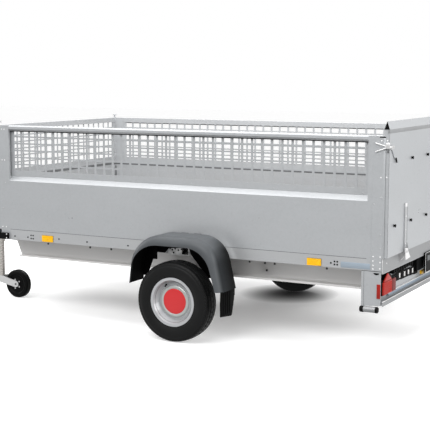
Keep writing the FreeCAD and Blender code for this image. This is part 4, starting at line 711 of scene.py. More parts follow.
# %% Caps and valves
CAP_Y = 1004
CAP_RING = ((0, 86), (3.6, 87), (5.2, 90), (6.4, 96), (6.4, 101), (5, 106), (2, 109), (0, 109),
            (0, 86))
CAP_DOME = ((0, 0), (0, 86.5), (3.4, 86.5), (4.4, 84.5), (5.6, 74), (7.2, 45), (8.2, 18),
            (8.4, 0))
VALVE = ((-6, 0), (-6, 8), (0, 8.5), (3, 7), (16, 5.2), (24, 4.6), (26, 4.9), (36, 4.9),
         (37.5, 3.8), (37.5, 0))
RIM_RINGS = ((1038, 152), (1027, 141), (1010, 132), (1004, 119), (1004, 112))
RIM_STEP = ((-1, 121), (2.2, 121.6), (3, 123), (2.2, 125), (-1, 126))


def dress_wheel(side, word):
    """The cap's ring and red middle, the leaning valve and the rolled steps of the rim."""
    body, out = "wheel_" + word, (0, side, 0)
    centre = spot(0, side * CAP_Y, AXLE_Z)
    turned_piece("cap_ring_" + word, body, cap_grey, "wheel_cap", CAP_RING, centre, out, 64)
    face = turned_piece("cap_face_" + word, body, cap_red, "wheel_cap", CAP_DOME, centre, out, 64)
    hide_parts("wheel_cap_" + word)
    turned_piece("valve_" + word, body, rubber, "rubber", VALVE,
                 spot(66, side * 1000, AXLE_Z + 112), (-0.25, side, -0.35), 20)
    # Dark rings of shadow paint lie in the rim's steps as a painted shade.
    lines = bmesh.new()
    for y, radius in RIM_RINGS:
        add_turned(lines, ((-1, radius - 1.1), (0.8, radius - 0.6), (0.8, radius + 0.6),
                           (-1, radius + 1.1)), spot(0, side * y, AXLE_Z), out, 72)
    finish_piece("rim_shadow_lines_" + word, lines, body, shadow_paint)
    turned_piece("rim_step_" + word, body, silver_paint, "rim_paint", RIM_STEP, centre, out, 72)


for side, word in SIDES:
    dress_wheel(side, word)
print("caps, valves and rim steps made")

# %% [markdown]
# ## Fenders
#
# A fender lies in shade where it looks at the wheel, and a thin near-black skin paints that shade.
# Its own faces on that side are copied, lifted by less than a millimetre and closed to a thin skin,
# so that the skin follows the moulding exactly. Narrow faces are left out, so the fender's edge
# keeps its grey.

# %% Painted shade skins of the fenders
SHADE_SKIN_GAP, SHADE_SKIN_THICK = 0.36, 0.54
SHADE_SKIN_NARROW = 0.0042


def faces_wheel(face, side):
    """True for the broad faces of a fender that look at its wheel."""
    arm = face.calc_center_median() - spot(0, side * WHEEL_Y, AXLE_Z)
    way = face.normal
    outward = way.x * arm.x + way.z * arm.z + way.y * side * 0.3
    return outward < -0.02 and face.calc_area() * 2 / face.calc_perimeter() > SHADE_SKIN_NARROW


def place_of(point):
    """A point's place, rounded so that it can be looked up."""
    return tuple(round(part, 7) for part in point.co)


def make_shade_skin(side, word):
    """A thin closed dark skin, a painted shade, over the faces of a fender that look at its wheel.
    """
    work = bmesh.new()
    work.from_mesh(nodes["fender_" + word].data)
    join_doubles(work)
    work.normal_update()
    others = [face for face in work.faces if not faces_wheel(face, side)]
    bmesh.ops.delete(work, geom=others, context="FACES")
    work.normal_update()
    for point in work.verts:
        point.co += point.normal * (SHADE_SKIN_GAP * MM)
    work.normal_update()
    ways = {place_of(point): point.normal.copy() for point in work.verts}
    pulled = bmesh.ops.extrude_face_region(work, geom=list(work.faces))["geom"]
    for item in pulled:
        if isinstance(item, bmesh.types.BMVert):
            item.co += ways[place_of(item)] * (SHADE_SKIN_THICK * MM)
    return finish_piece("shade_skin_" + word, work, "chassis", rubber)


for side, word in SIDES:
    shade_skin = make_shade_skin(side, word)
    print(shade_skin.name, len(shade_skin.data.polygons))

# %% [markdown]
# The flap is moulded rubber with a slanted foot, upright ribs and a stiff wing towards the frame.
# Under the crown, a pale punched stay and a black leg hold the fender. Flap and leg have outlines
# with slanted sides, so they are plates. The stay is an angle, so it is two blocks.

# %% Flaps and stays
FLAP_BACK = node_box("mud_flaps")[0][0]
FLAP_OUTLINE = ((1060, 214), (1062, 300), (1056, 378), (858, 378), (858, 350), (868, 300),
                (896, 203), (912, 197))
FLAP_RIBS = (930, 960, 990, 1020)
LEG_OUTLINE = ((296, 655), (336, 560), (347, 440), (343, 402), (306, 404), (256, 534),
               (246, 574), (166, 572), (135, 606), (-24, 618), (-40, 575), (-90, 520),
               (-130, 470), (-174, 424), (-250, 424), (-250, 540), (-215, 620), (-170, 655))
LEG_Y = 851
flaps, legs = bmesh.new(), bmesh.new()
for side in BOTH:
    add_plate(flaps, spots([(FLAP_BACK, y, z) for y, z in FLAP_OUTLINE], side), FRONT, 6, 1.5)
    for y in FLAP_RIBS:
        add_block(flaps, (FLAP_BACK - 3, FLAP_BACK + 2), (y - 3, y + 3), (222, 370), 1.4,
                  side=side)
    add_block(flaps, (FLAP_BACK, FLAP_BACK + 34), (856, 860), (330, 378), 1.5, side=side)
    add_block(legs, (212, 258), (874, 886), (528, 655), 3, side=side)
    add_block(legs, (222, 248), (806, 886), (604, 612), 2, side=side)
    add_plate(legs, spots([(x, LEG_Y, z) for x, z in LEG_OUTLINE], side), (0, side, 0), 3)
flap = finish_piece("moulded_flaps", flaps, "chassis", rubber)
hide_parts("mud_flaps")
block_piece("fender_stays", "chassis", zinc_bright, (
    ((-2, 166), (WALL_OUT + 0.6, WALL_OUT + 4), (560, 614), 1),
    ((-2, 166), (WALL_OUT + 0.6, WALL_OUT + 26), (557, 560), 1)))
finish_piece("fender_legs", legs, "chassis", rubber)
print("flap from x", FLAP_BACK)

# %% [markdown]
# ## Rivets, bolts and knobs
#
# Small fasteners repeat, so each is turned once and stamped in place. Their places on the left
# were read against the corner posts and rails, and the right side mirrors them.

# %% Rivets on the corner posts
RIVET = turned_shape(((0, 5.0), (1.0, 4.9), (2.0, 3.8), (2.6, 2.0), (2.7, 0)))
BOLT = turned_shape(((0, 8.5), (1.2, 8.5), (1.2, 6.6), (5.2, 6.6), (6.0, 5.6), (6.0, 0)), 6)
KNOB = turned_shape(((0, 9.5), (2, 9.5), (3, 6), (7, 6), (8.5, 10.5), (11, 11),
                     (13, 9.5), (14, 5), (14.2, 0)), 20)
HOLE = turned_shape(((0, 6.2), (0.5, 6.2), (0.6, 5.6), (0.6, 0)), 16)
BRIGHT_RIVETS = (
    (-1372, 1156), (-1329, 654), (-1375, 654), (-1329, 626), (-1375, 620), (-1329, 598),
    (-1329, 575), (-1375, 580), (-1372, 1385), (1605, 1385), (1580, 1385), (1605, 1156),
    (1580, 1156), (1580, 654), (1612, 654), (1580, 600), (1612, 600))
DULL_RIVETS = ((-1375, 1030), (-1329, 987), (-1375, 795), (-1375, 707), (1580, 987), (1605, 795))
MARKER_RIVETS = ((1562, 573), (1562, 602))
SILL_RIVETS = ((SILL_BACK, 730, 606), (SILL_BACK, -730, 606))
GATE_RIVETS = ((-1408, 1385), (-1408, 1158))

rivets, dull_rivets, gate_rivets = bmesh.new(), bmesh.new(), bmesh.new()
stamp_sides(rivets, RIVET, WALL_OUT, BRIGHT_RIVETS)
stamp_sides(rivets, RIVET, node_box("front_markers")[1][1], MARKER_RIVETS)
stamp(rivets, RIVET, spots(SILL_RIVETS), BACK)
stamp_sides(dull_rivets, RIVET, WALL_OUT, DULL_RIVETS)
stamp_sides(gate_rivets, RIVET, 802.6, GATE_RIVETS)
finish_piece("post_rivets", rivets, "chassis", zinc_bright)
finish_piece("high_rivets", dull_rivets, "chassis", zinc_frame)
finish_piece("gate_rivets", gate_rivets, "tailgate", zinc_bright)
print("rivets on each side:", len(BRIGHT_RIVETS + DULL_RIVETS + MARKER_RIVETS + GATE_RIVETS) + 1)

# %% [markdown]
# The long members are held by black bolts. The rail and the fender's stay are punched with rows of
# holes for other fittings; seen from a step away, a hole is a dark round spot, so each is a thin
# dark disc, a painted shade inside the hole. The tailgate carries black knobs, on which a cover's
# cord is hooked.

# %% Bolts, holes and knobs
MEMBER_BOLTS = ((1317, 522), (935, 522), (749, 522), (-381, 522), (-497, 522), (-569, 522),
                (-511, 473), (-949, 522))
RAIL_HOLES = ((1500, 589), (1379, 589), (1350, 604), (1350, 581), (1331, 604), (1331, 581),
              (1096, 595), (848, 591), (498, 590), (-1044, 592), (-1069, 603), (-1088, 603),
              (-1069, 584), (-1088, 584))
STAY_HOLES = ((150, 598), (132, 590), (110, 598), (84, 590), (60, 598), (34, 590), (12, 598),
              (122, 570), (48, 570))
GATE_KNOBS = ((368, 1254), (42, 1254), (-284, 1254), (694, 844), (375, 844), (51, 844),
              (-273, 844), (-600, 844))
member_bolts, rail_holes, gate_knobs = bmesh.new(), bmesh.new(), bmesh.new()
stamp_sides(member_bolts, BOLT, MEMBER_FACE, MEMBER_BOLTS)
# Dark discs paint the shade inside each hole.
stamp_sides(rail_holes, HOLE, WALL_OUT, RAIL_HOLES)
stamp_sides(rail_holes, HOLE, WALL_OUT + 3.8, STAY_HOLES)
stamp(gate_knobs, KNOB, spots([(TAILGATE_BACK, y, z) for y, z in GATE_KNOBS]), BACK)
finish_piece("member_bolts", member_bolts, "chassis", black_paint)
finish_piece("rail_holes", rail_holes, "chassis", rubber)
finish_piece("gate_knobs", gate_knobs, "tailgate", black_plastic)
print("bolts:", len(MEMBER_BOLTS), "holes:", len(RAIL_HOLES + STAY_HOLES), "on each side")

# %% [markdown]
# ## Painted shadow lines
#
# A grille stands in its rail with a dark strip along its upper edge, a painted shadow under the
# rail, and dark painted shadow lines at its ends. Lower on the inside, the wall sheet is folded
# over and leaves a shadow gap under the grille, and a dark strip paints it; another runs outside
# between rail and wall. These thin dark lines draw the trailer's shape, and each is a strip of its
# own.

# %% Painted shadow lines of the grilles and the sheets' joints
GRILLE_REAR, GRILLE_FRONT = -1285, 1540
RAIL_UNDER = node_box("side_grilles")[2][1] - 38
WALL_IN = node_box("floor_panel")[1][1]
FRONT_IN = node_box("front_wall")[0][0]
LOWER_TOP = node_box("side_walls")[2][1]
SHADOW_LINE_YS = (WALL_IN + 14, WALL_IN + 23)
SHADOW_LINE_UNDER = RAIL_UNDER - 7
JOINT_SHADOW_ZS = (1012, 1030)
# Painted shadow: a dark strip under the rail along the grille's top, and dark lines at its ends.
block_piece("grille_top_shadow", "chassis", rubber, [
    ((GRILLE_REAR, GRILLE_FRONT), SHADOW_LINE_YS, (SHADOW_LINE_UNDER, RAIL_UNDER), 1.5)])
block_piece("end_shadow_lines", "chassis", shadow_paint, [
    ((x, x + 3), SHADOW_LINE_YS, (LOWER_TOP, SHADOW_LINE_UNDER), 0.8)
    for x in (GRILLE_FRONT - 3, GRILLE_REAR)])
# Painted shadow lines where the sheets join, inside and out.
joint_shadows = bmesh.new()
for side in BOTH:
    add_block(joint_shadows, (GRILLE_REAR, FRONT_IN - 2), (WALL_IN - 1.2, WALL_IN), JOINT_SHADOW_ZS, 0.4, 1,
              side)
    add_block(joint_shadows, (GRILLE_REAR, GRILLE_FRONT), (WALL_OUT - 0.4, WALL_OUT + 0.5),
              (637.6, 640.6), 0.3, 1, side)
    add_block(joint_shadows, (FRONT_IN - 8, FRONT_IN), (WALL_IN - 8, WALL_IN), (905, 1000), 1, 2, side)
add_block(joint_shadows, (FRONT_IN - 1.2, FRONT_IN), (-WALL_IN, WALL_IN), JOINT_SHADOW_ZS, 0.4, 1)
finish_piece("joint_shadow_lines", joint_shadows, "chassis", shadow_paint)
print("grille from z", LOWER_TOP, "to", RAIL_UNDER)

# %% [markdown]
# ## Reflectors and the plate on the rail
#
# A reflector is a thick amber lens in a thin black frame. Its face is a grid whose small cells
# are pushed in a little, which gives the broken sparkle of a moulded prism pattern.

# %% Side reflectors and the blank plate
REFLECTOR_XS = (1197, -928)
PRISM_CUTS = ((2, 12), (0, 5))


def add_prism_lens(work, xs, ys, zs, side):
    """A lens block whose outer face is a grid of small pressed cells."""
    add_block(work, xs, ys, zs, side=side)
    low, high = block_corners(xs, ys, zs, side)

    def outer_faces():
        """The faces that lie furthest out."""
        level = max(side * face.calc_center_median().y for face in work.faces)
        return [face for face in work.faces if side * face.normal.y > 0.9
                and abs(side * face.calc_center_median().y - level) < SAME_PLACE]

    for axis, count in PRISM_CUTS:
        for step in range(1, count):
            cut, normal = low.copy(), Vector((0, 0, 0))
            cut[axis] = low[axis] + (high - low)[axis] * step / count
            normal[axis] = 1
            faces = outer_faces()
            edges = {edge for face in faces for edge in face.edges}
            points = {point for face in faces for point in face.verts}
            bmesh.ops.bisect_plane(work, geom=faces + list(edges) + list(points),
                                   plane_co=cut, plane_no=normal)
            work.normal_update()
    bmesh.ops.inset_individual(work, faces=outer_faces(), thickness=0.0007, depth=-0.0008)


lenses = bmesh.new()
for x in REFLECTOR_XS:
    for side in BOTH:
        lens = bmesh.new()
        add_prism_lens(lens, (x - 49, x + 49), (WALL_OUT + 2.5, WALL_OUT + 5.6), (567, 613), side)
        kept = bpy.data.meshes.new("lens")
        lens.to_mesh(kept)
        lens.free()
        lenses.from_mesh(kept)
block_piece("reflector_frames", "chassis", black_plastic, [
    ((x - 50, x + 50), (WALL_OUT, WALL_OUT + 3), (566, 614), 1.2) for x in REFLECTOR_XS])
amber = finish_piece("reflector_lenses", lenses, "chassis", amber_lens, sharp=20)
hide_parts("side_reflectors")
block_piece("rail_plate", "chassis", plate_blue, [
    ((-1310, -1112), (WALL_OUT, WALL_OUT + 1.6), (570, 607), 0.7)])
print("reflectors on each side:", len(REFLECTOR_XS))

# %% [markdown]
# ## Lamps
#
# The housings come from CAD. Each gets two red lens covers with fine upright ribs, a bright one for
# the tail and brake light and a deep one beside it, and the red triangle that trailers carry. The
# side plate has a small red window too.

# %% Tail lamp lenses
(LAMP_BACK, _), (_, LAMP_OUT), (LAMP_LOW, _) = node_box("tail_lamps")
LAMP_FIELDS = ((3, 160, red_lens, 22), (163, 234, deep_lens, 10))
FIELD_ZS = (LAMP_LOW + 3, LAMP_LOW + 86)
RIB_MARGIN = 6
TRIANGLE_MIDDLE, TRIANGLE_HALF, TRIANGLE_ZS = LAMP_OUT - 86, 76, (LAMP_LOW + 88, LAMP_LOW + 137)


def make_lens(name, side, start, end, finish, ribs):
    """One field of a tail lamp: a rounded block with upright half-round ribs."""
    work = bmesh.new()
    low_y, high_y = sorted((side * (LAMP_OUT - start), side * (LAMP_OUT - end)))
    add_block(work, (LAMP_BACK - 12, LAMP_BACK + 1), (low_y, high_y), FIELD_ZS, 4)
    height = FIELD_ZS[1] - FIELD_ZS[0] - 2 * RIB_MARGIN
    pitch = (high_y - low_y - 2 * RIB_MARGIN) / ribs
    for step in range(ribs):
        foot = spot(LAMP_BACK - 9.5, low_y + RIB_MARGIN + pitch * (step + 0.5),
                    FIELD_ZS[0] + RIB_MARGIN)
        add_turned(work, ((0, 0), (0, pitch * 0.5), (height, pitch * 0.5), (height, 0)), foot,
                   UP, 8)
    return finish_piece(name, work, "chassis", finish)


for side, word in SIDES:
    for number, field in enumerate(LAMP_FIELDS):
        make_lens(f"lamp_{word}_{number}", side, *field)
    triangle = bmesh.new()
    middle = side * TRIANGLE_MIDDLE
    add_plate(triangle, spots([(LAMP_BACK, middle - TRIANGLE_HALF, TRIANGLE_ZS[0]),
                               (LAMP_BACK, middle + TRIANGLE_HALF, TRIANGLE_ZS[0]),
                               (LAMP_BACK, middle, TRIANGLE_ZS[1])]), BACK, 9, 2)
    finish_piece("lamp_triangle_" + word, triangle, "chassis", red_lens)
    block_piece("side_window_" + word, "chassis", red_lens, [
        ((-1381, -1357), (WALL_OUT, WALL_OUT + 4), (388, 480), 1.5)], sides=(side,))
print("lamp field from y", LAMP_OUT, "z", LAMP_LOW)

# %% [markdown]
# ## Tailgate hardware
#
# The latch is a wire bail that hooks over a block on the tailgate, and a lever with a dark tip
# that pulls it tight. The wire is a round bar bent at its feet, so it is laid as a row of turned
# lengths with a ball at each bend.

# %% Latches
LATCH_Z = 1347
BAIL_BACK, BAIL_MIDDLE, BAIL_FOOT = -1430, -1402, -1336
BAIL_Y, BAIL_FOOT_Y, BAIL_END_Y = 812, 806, 752
BAIL = ((BAIL_FOOT, BAIL_FOOT_Y, 1370), (BAIL_FOOT, BAIL_Y, 1370), (BAIL_MIDDLE, BAIL_Y, 1352),
        (BAIL_BACK, BAIL_Y, LATCH_Z + 3), (BAIL_BACK, BAIL_Y, LATCH_Z - 3),
        (BAIL_MIDDLE, BAIL_Y, 1340), (BAIL_FOOT, BAIL_Y, 1318), (BAIL_FOOT, BAIL_FOOT_Y, 1318))
BAIL_END = ((BAIL_BACK, BAIL_Y, LATCH_Z), (BAIL_BACK, BAIL_END_Y, LATCH_Z))
HOOK = (((-1429, -1402), (804, 817), (LATCH_Z - 12, LATCH_Z + 27), 4.5),
        ((-1437, -1423), (742, 800), (LATCH_Z - 16, LATCH_Z + 8), 5))
PAD = (((-1424, -1409), (804, 811), (LATCH_Z - 36, LATCH_Z - 12), 2.5),)
LEVER_X, LEVER = -1425.5, ((786, -2), (764, -6), (698, -84), (706, -90))
TIP_X, TIP = -1428.5, ((713, -76), (698, -70), (680, -100), (690, -106))


def make_latch(side, word):
    """A wire bail, its hook block and the lever on the tailgate's face."""
    wire, lever, tip = bmesh.new(), bmesh.new(), bmesh.new()
    add_bar(wire, spots(BAIL, side), 3.8)
    add_bar(wire, spots(BAIL_END, side), 4)
    bail = finish_piece("latch_bail_" + word, wire, "tailgate", zinc_bright)
    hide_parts("latches")
    block_piece("latch_hook_" + word, "tailgate", zinc_fitting, HOOK, (side,))
    block_piece("latch_pad_" + word, "tailgate", shadow_paint, PAD, (side,))
    add_plate(lever, spots([(LEVER_X, y, LATCH_Z + z) for y, z in LEVER], side), BACK, 3.5, 1)
    finish_piece("latch_lever_" + word, lever, "tailgate", zinc_sheet)
    add_plate(tip, spots([(TIP_X, y, LATCH_Z + z) for y, z in TIP], side), BACK, 7, 2)
    finish_piece("latch_tip_" + word, tip, "tailgate", black_plastic)


for side, word in SIDES:
    make_latch(side, word)
print("latches at z", LATCH_Z)

# %% [markdown]
# Below each hinge strap, a bright gusset slopes from the pin to the sill. The strap itself is
# riveted on the tailgate. Dark lines of painted shadow along its edges and a bright folded tip lift
# it from the sheet, which has nearly the same grey.

# %% Gussets and hinge straps
STRAP_Y, STRAP_FACE = 474, -1429
STRAP_HALF = node_box("hinge_straps")[1][1] - STRAP_Y
STRAP_RIVET_ZS = (700, 790, 880, 945)
STRAP_SHADOW_EDGES = ((-1, 5), (1, 3))
GUSSET_X, GUSSET = -1436, ((512, 678), (461, 672), (397, 601), (490, 596))
gussets, strap_bolts, shadow_edge_lines = bmesh.new(), bmesh.new(), []
for side in BOTH:
    add_plate(gussets, spots([(GUSSET_X, y, z) for y, z in GUSSET], side), BACK, 3, 1)
    stamp(strap_bolts, RIVET, spots([(STRAP_FACE, STRAP_Y, z) for z in STRAP_RIVET_ZS], side),
          BACK)
    # Thin dark strips paint the shadow along each strap's edges.
    for way, wide in STRAP_SHADOW_EDGES:
        y = side * STRAP_Y + way * STRAP_HALF
        shadow_edge_lines.append(
            ((STRAP_FACE - 0.8, STRAP_FACE + 0.4), (y, y - way * wide), (700, 940), 0.4))
finish_piece("hinge_gussets", gussets, "chassis", zinc_bright)
finish_piece("strap_bolts", strap_bolts, "tailgate", zinc_fitting)
block_piece("strap_shadow_edges", "tailgate", shadow_paint, shadow_edge_lines, ONCE)
block_piece("strap_tips", "tailgate", zinc_bright, [
    ((STRAP_FACE - 2.5, STRAP_FACE + 3), (STRAP_Y - 17, STRAP_Y + 17), (942, 966), 2)])
print("strap half width", round(STRAP_HALF, 1))

# %% [markdown]
# The lamp leads run along the rear sill in a black loom with clips, over a black rack with four
# openings. A loom is never quite straight, so it waves a little and its clips differ. Pale plates
# stand behind the openings and show bright through them, a painted light where the carrier behind
# lies in shade.

# %% Loom and rack
RACK_XS, RACK_START, RACK_END = (-1360, -1356), 456, -8
RACK_OPENINGS = ((364, 466), (262, 462), (181, 461), (93, 457))
loom = bmesh.new()
add_bar(loom, [spot(-1358 - 4 * math.sin(y / 37), y, 522 + 12 * math.sin(y / 61))
               for y in range(545, -50, -17)], 9, steps=8)
for y in range(520, 140, -46):
    clip_low, clip_high = 503 + chance.randint(-6, 8), 545 + chance.randint(-14, 6)
    add_block(loom, (-1374, -1342), (y - 17, y + 15), (clip_low, clip_high), 4)
add_block(loom, (-1376, -1342), (-92, 60), (446, 546), 5)
finish_piece("lamp_loom", loom, "chassis", rubber)

rack, web = [], RACK_START
for y, z in RACK_OPENINGS:
    rack += [(RACK_XS, (y + 19, web), (z - 26, z + 30), 2),
             (RACK_XS, (y - 21, y + 21), (z + 17, z + 30), 2),
             (RACK_XS, (y - 21, y + 21), (z - 26, z - 16), 2)]
    web = y - 19
rack.append((RACK_XS, (RACK_END, web), (425, 487), 2))
block_piece("cable_rack", "chassis", rubber, rack, ONCE)
block_piece("small_lamp", "chassis", amber_lens, [
    ((-1378, -1364), (-128, -40), (412, 437), 3)], ONCE)
print("rack blocks:", len(rack))

# %% [markdown]
# The light carrier is a folded channel. Below the rack it has a blue-grey inner fold, and its rear
# lip carries a taller face. Thin bright strips paint the highlights on the fold's upper edge, the
# lip's upper edge and the sill's rear side edges.

# %% Folds and lips of the carrier
CARRIER_WEB = -1337
block_piece("carrier_fold", "chassis", plate_blue, [
    ((CARRIER_WEB - 14, CARRIER_WEB), (-560, 560), (362, 384), 2)], ONCE)
# Painted highlights: thin bright strips on the fold's and the lip's upper edges and at the sill's
# rear side edges.
highlight_strips = bmesh.new()
add_block(highlight_strips, (CARRIER_WEB - 17, CARRIER_WEB), (-560, 560), (385, 389), 1)
add_block(highlight_strips, (-1397, -1391), (-800, 800), (366, 370), 1)
for side in BOTH:
    add_block(highlight_strips, (-1392.5, -1389.5), (802, 805.8), (549, 643), 0.5, side=side)
finish_piece("painted_highlight_edges", highlight_strips, "chassis", zinc_bright)
# Pale plates, a painted light, stand behind the rack's openings.
block_piece("painted_light_rack_backs", "chassis", zinc_member, [
    ((-1355.5, -1352), (y - 23, y + 23), (z - 17, z + 18), 1) for y, z in RACK_OPENINGS], ONCE)
block_piece("carrier_lip", "chassis", zinc_shaded, [
    ((-1396, -1392.6), (-802, 802), (337, 367), 1)], ONCE)
print("carrier dressed")

# %% [markdown]
# A corner post is one sheet folded several times. Each fold shows as a thin bright lip, and where
# two sheets meet, a thin dark strip paints the shadow of the crease. At its foot the post has a
# round notch, drawn here as a dark half ring of eleven points, a painted shade. The tailgate's
# sides have two dark lines of painted shadow at their folds, and a darker strip, a painted shade,
# closes the recess under its top profile.

# %% Fold lines and painted shadow lines of the posts and the tailgate
FOLD_YS = (WALL_OUT, WALL_OUT + 0.7)
GATE_SIDE_YS = (803, 804)
block_piece("post_lips", "chassis", zinc_sheet, (
    ((-1399, -1383), (803.4, 804.9), (645, 1412), 0.5),
    ((-1315, -1313), FOLD_YS, (565, 1410), 0.3)))
# Painted shadow: dark strips at the posts' creases and a dark half disc in each notch.
shadow_creases = bmesh.new()
notch = [(-1353 + 19 * math.cos(angle), WALL_OUT, 551 + 12 * math.sin(angle))
         for angle in (math.pi * (1 + step / 10) for step in range(11))]
for side in BOTH:
    add_block(shadow_creases, (-1383, -1253), FOLD_YS, (560, 563), 0.3, side=side)
    add_block(shadow_creases, (-1270.4, -1269), FOLD_YS, (336, 560), 0.3, side=side)
    add_block(shadow_creases, (-1399, -1360), (WALL_OUT, WALL_OUT + 1.2), (1404, 1411), 0.4, side=side)
    add_plate(shadow_creases, spots(notch, side), (0, side, 0), 2)
finish_piece("post_shadow_creases", shadow_creases, "chassis", rubber)
# Painted shadow lines on the tailgate's sides.
block_piece("gate_shadow_lines", "tailgate", shadow_paint, (
    ((-1402, -1400.4), GATE_SIDE_YS, (655, 1335), 0.3),
    ((-1423, -1421.6), GATE_SIDE_YS, (655, 1426), 0.3)))
# A darker strip, a painted shade, fills the recess under the top profile.
block_piece("gate_shade_strip", "tailgate", zinc_shaded, [
    ((TAILGATE_BACK - 0.8, -1411.5), (-802.5, 802.5), (1430.5, 1454.5), 0.3)], ONCE)
print("fold lines at y", FOLD_YS, GATE_SIDE_YS)

# %% [markdown]
# The plate holder is empty. A bright rim of four strips and two dark clips show where a plate
# would go. The short tubes under the carrier's corners are closed by round black plugs, each with
# a sleeve over the tube's end.

# %% Plate holder and tube plugs
(HOLDER_BACK, _), (HOLDER_RIGHT, HOLDER_LEFT), (HOLDER_LOW, HOLDER_HIGH) = node_box("plate_base")
RIM_XS, RIM_WIDE = (HOLDER_BACK - 2.5, HOLDER_BACK), 3
HOLDER_YS, HOLDER_ZS = (HOLDER_RIGHT, HOLDER_LEFT), (HOLDER_LOW, HOLDER_HIGH)
PLUG = turned_shape(((-6, 0), (-6, 18), (0, 19.4), (4, 19.4), (6.5, 17), (7, 10), (5.5, 8),
                     (5.5, 0)), 32)
block_piece("holder_rim", "chassis", zinc_bright, (
    (RIM_XS, (HOLDER_RIGHT, HOLDER_RIGHT + RIM_WIDE), HOLDER_ZS, 0.8),
    (RIM_XS, (HOLDER_LEFT - RIM_WIDE, HOLDER_LEFT), HOLDER_ZS, 0.8),
    (RIM_XS, HOLDER_YS, (HOLDER_LOW, HOLDER_LOW + RIM_WIDE), 0.8),
    (RIM_XS, HOLDER_YS, (HOLDER_HIGH - RIM_WIDE, HOLDER_HIGH), 0.8)), ONCE)
block_piece("holder_clips", "chassis", shadow_paint, [
    ((HOLDER_BACK - 3, HOLDER_BACK), (y - 27, y + 27), (502, 540), 2)
    for y in (HOLDER_RIGHT + 60, HOLDER_LEFT - 68)], ONCE)

(tube_rear, tube_front), tube_ys, tube_zs = node_box("corner_rollers")
tube_y, tube_z = tube_ys[1] - 19, sum(tube_zs) / 2
plugs = bmesh.new()
for side in BOTH:
    stamp(plugs, PLUG, [spot(tube_rear, side * tube_y, tube_z)], BACK)
    stamp(plugs, PLUG, [spot(tube_front, side * tube_y, tube_z)], FRONT)
    for x, way, depth in ((tube_rear, FRONT, 9), (tube_front, BACK, 20)):
        add_turned(plugs, ((-1, 0), (-1, 20.6), (depth, 20.6), (depth, 19)),
                   spot(x, side * tube_y, tube_z), way)
finish_piece("tube_plugs", plugs, "chassis", black_plastic)
print("holder from z", HOLDER_LOW, "to", HOLDER_HIGH, "tube at y", round(tube_y))

# %% [markdown]
# ## Drawbar, jockey wheel and axle
#
# The drawbar is screwed together, so bolt heads stand on its faces. Its arms run inwards, so their
# bolts are placed along the arm and face square to it. The cast coupling gets the rolled lip of
# its ball socket, and its handle the ribs that keep a wet glove from slipping.

# %% Bolts of the drawbar, coupling lip and handle ribs
ARM_START, ARM_WAY = (1000, 546), Vector((1790, -475, 0)).normalized()
ARM_BOLTS, ARM_BOLT_ZS = (60, 190, 1520, 1650), (490, 536)
NOSE_BOLTS = ((2652, 30, 410), (2652, 30, 436))
draw_bolts = bmesh.new()
for side in BOTH:
    for along in ARM_BOLTS:
        x, y = ARM_START[0] + ARM_WAY.x * along, ARM_START[1] + ARM_WAY.y * along
        stamp(draw_bolts, BOLT, spots([(x, y, z) for z in ARM_BOLT_ZS], side),
              (-ARM_WAY.y, side * ARM_WAY.x, 0))
    stamp(draw_bolts, BOLT, spots(NOSE_BOLTS, side), (0, side, 0))
finish_piece("drawbar_bolts", draw_bolts, "chassis", zinc_fitting)
lip_ring = bmesh.new()
add_turned(lip_ring, ((0, 33), (0, 38), (2.5, 40), (6, 39.5), (7, 37), (7, 33), (0, 33)),
           spot(2933, 0, 388), UP, 40)
add_block(lip_ring, (2700, 2780), (-20, 20), (455, 463), 3)
finish_piece("coupling_lip", lip_ring, "chassis", cast_steel)
block_piece("handle_ribs", "chassis", black_plastic, [
    ((2810 + step * 16, 2817 + step * 16), (-16.5, 16.5), (538 - step * 3, 546 - step * 3), 2)
    for step in range(6)], ONCE)
print("bolts on each drawbar arm:", len(ARM_BOLTS) * len(ARM_BOLT_ZS))

# %% [markdown]
# The crank has a black grip that is turned with shallow waves, and the jockey wheel a ribbed
# rubber tread. The clamp's handle is a cross bar with a ball at each end. All three are round, so
# they are turned or laid as round bars.

# %% Crank grip, jockey wheel and clamp handle
JOCKEY_Y = 310
wheel_xs, _, wheel_zs = node_box("jockey_wheel")
jockey_x, jockey_z = sum(wheel_xs) / 2, sum(wheel_zs) / 2
GRIP_WAVES = tuple((4 + step * 5, 12.6 if step % 2 else 11.4) for step in range(14))
WHEEL_BOLTS, WHEEL_BOLT_CIRCLE = 5, 36
CLAMP_X, CLAMP_Y, CLAMP_Z = 2034, 366, 512
turned_piece("crank_grip", "chassis", black_plastic, "black_plastic", (
    (0, 7.5), (0, 11.5), *GRIP_WAVES, (74, 11), (76, 8), (76, 0), (0, 0)),
    spot(2139, JOCKEY_Y, 887), UP, 28)

ribs, wheel_bolts, fork_bolts = bmesh.new(), bmesh.new(), bmesh.new()
for y in (-14, 0, 14):
    add_turned(ribs, ((y - 4, 110), (y - 3, 112.7), (y + 3, 112.7), (y + 4, 110)),
               spot(jockey_x, JOCKEY_Y, jockey_z), (0, 1, 0), 64)
for way in BOTH:
    for angle in (math.tau * step / WHEEL_BOLTS for step in range(WHEEL_BOLTS)):
        place = spot(jockey_x + WHEEL_BOLT_CIRCLE * math.cos(angle), JOCKEY_Y + way * 30,
                     jockey_z + WHEEL_BOLT_CIRCLE * math.sin(angle))
        stamp(wheel_bolts, HOLE, [place], (0, way, 0))
    stamp(fork_bolts, BOLT, [spot(jockey_x, JOCKEY_Y + way * 38, jockey_z)], (0, way, 0))
finish_piece("jockey_tread", ribs, "jockey_wheel", tyre_rubber)
finish_piece("jockey_bolts", wheel_bolts, "jockey_wheel", zinc_fitting)
finish_piece("fork_bolts", fork_bolts, "jockey_fork", black_paint)

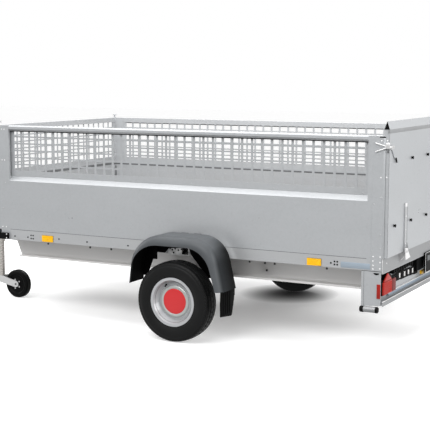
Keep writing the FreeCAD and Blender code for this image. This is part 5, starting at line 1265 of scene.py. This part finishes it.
clamp = bmesh.new()
add_bar(clamp, spots([(CLAMP_X, 346, CLAMP_Z), (CLAMP_X, CLAMP_Y, CLAMP_Z)]), 6)
add_bar(clamp, spots([(CLAMP_X, CLAMP_Y, CLAMP_Z + 44), (CLAMP_X, CLAMP_Y, CLAMP_Z - 44)]), 4.5)
for z in (CLAMP_Z + 48, CLAMP_Z - 48):
    add_ball(clamp, spot(CLAMP_X, CLAMP_Y, z), 8)
finish_piece("clamp_handle", clamp, "chassis", zinc_fitting)
print("jockey wheel at", round(jockey_x), round(jockey_z))

# %% [markdown]
# Four last details: the U-bolts that hold the axle to the members, the clear lenses of the front
# markers, the screws of the deck and the rivets inside the grilles.

# %% Axle bolts, marker lenses, deck screws and grille rivets
YOKE_YS, YOKE_XS, YOKE_ZS = (612, 654), (92, 188), (324, 424)
SCREW = turned_shape(((0, 7), (0.8, 7), (1.4, 5.4), (1.0, 3), (1.0, 0)), 16)
SCREW_XS, SCREW_YS = (-1330, -866, -240, 386, 1010, 1590), (-730, -365, 0, 365, 730)
yokes = bmesh.new()
for side in BOTH:
    for y in YOKE_YS:
        add_bar(yokes, spots([(YOKE_XS[0], y, YOKE_ZS[1]), (YOKE_XS[0], y, YOKE_ZS[0]),
                              (YOKE_XS[1], y, YOKE_ZS[0]), (YOKE_XS[1], y, YOKE_ZS[1])], side),
                6, steps=10)
    add_block(yokes, (84, 196), (600, 666), (403, 411.5), 2, side=side)
finish_piece("axle_yokes", yokes, "chassis", zinc_fitting)
marker_front = node_box("front_markers")[0][1]
block_piece("front_lenses", "chassis", clear_lens, [
    ((marker_front - 2, marker_front + 5), (808, 825), (568, 606), 2.5)])
deck_screws, grille_rivets = bmesh.new(), bmesh.new()
deck_top = node_box("floor_panel")[2][1]
stamp(deck_screws, SCREW, [spot(x, y, deck_top) for x in SCREW_XS for y in SCREW_YS], UP)
stamp_sides(grille_rivets, RIVET, 771.4, [(x, 1050) for x in range(-1240, 1540, 310)])
finish_piece("deck_screws", deck_screws, "chassis", zinc_fitting)
finish_piece("grille_rivets", grille_rivets, "chassis", zinc_sheet)
print("deck top", round(deck_top), "screws", len(SCREW_XS) * len(SCREW_YS))
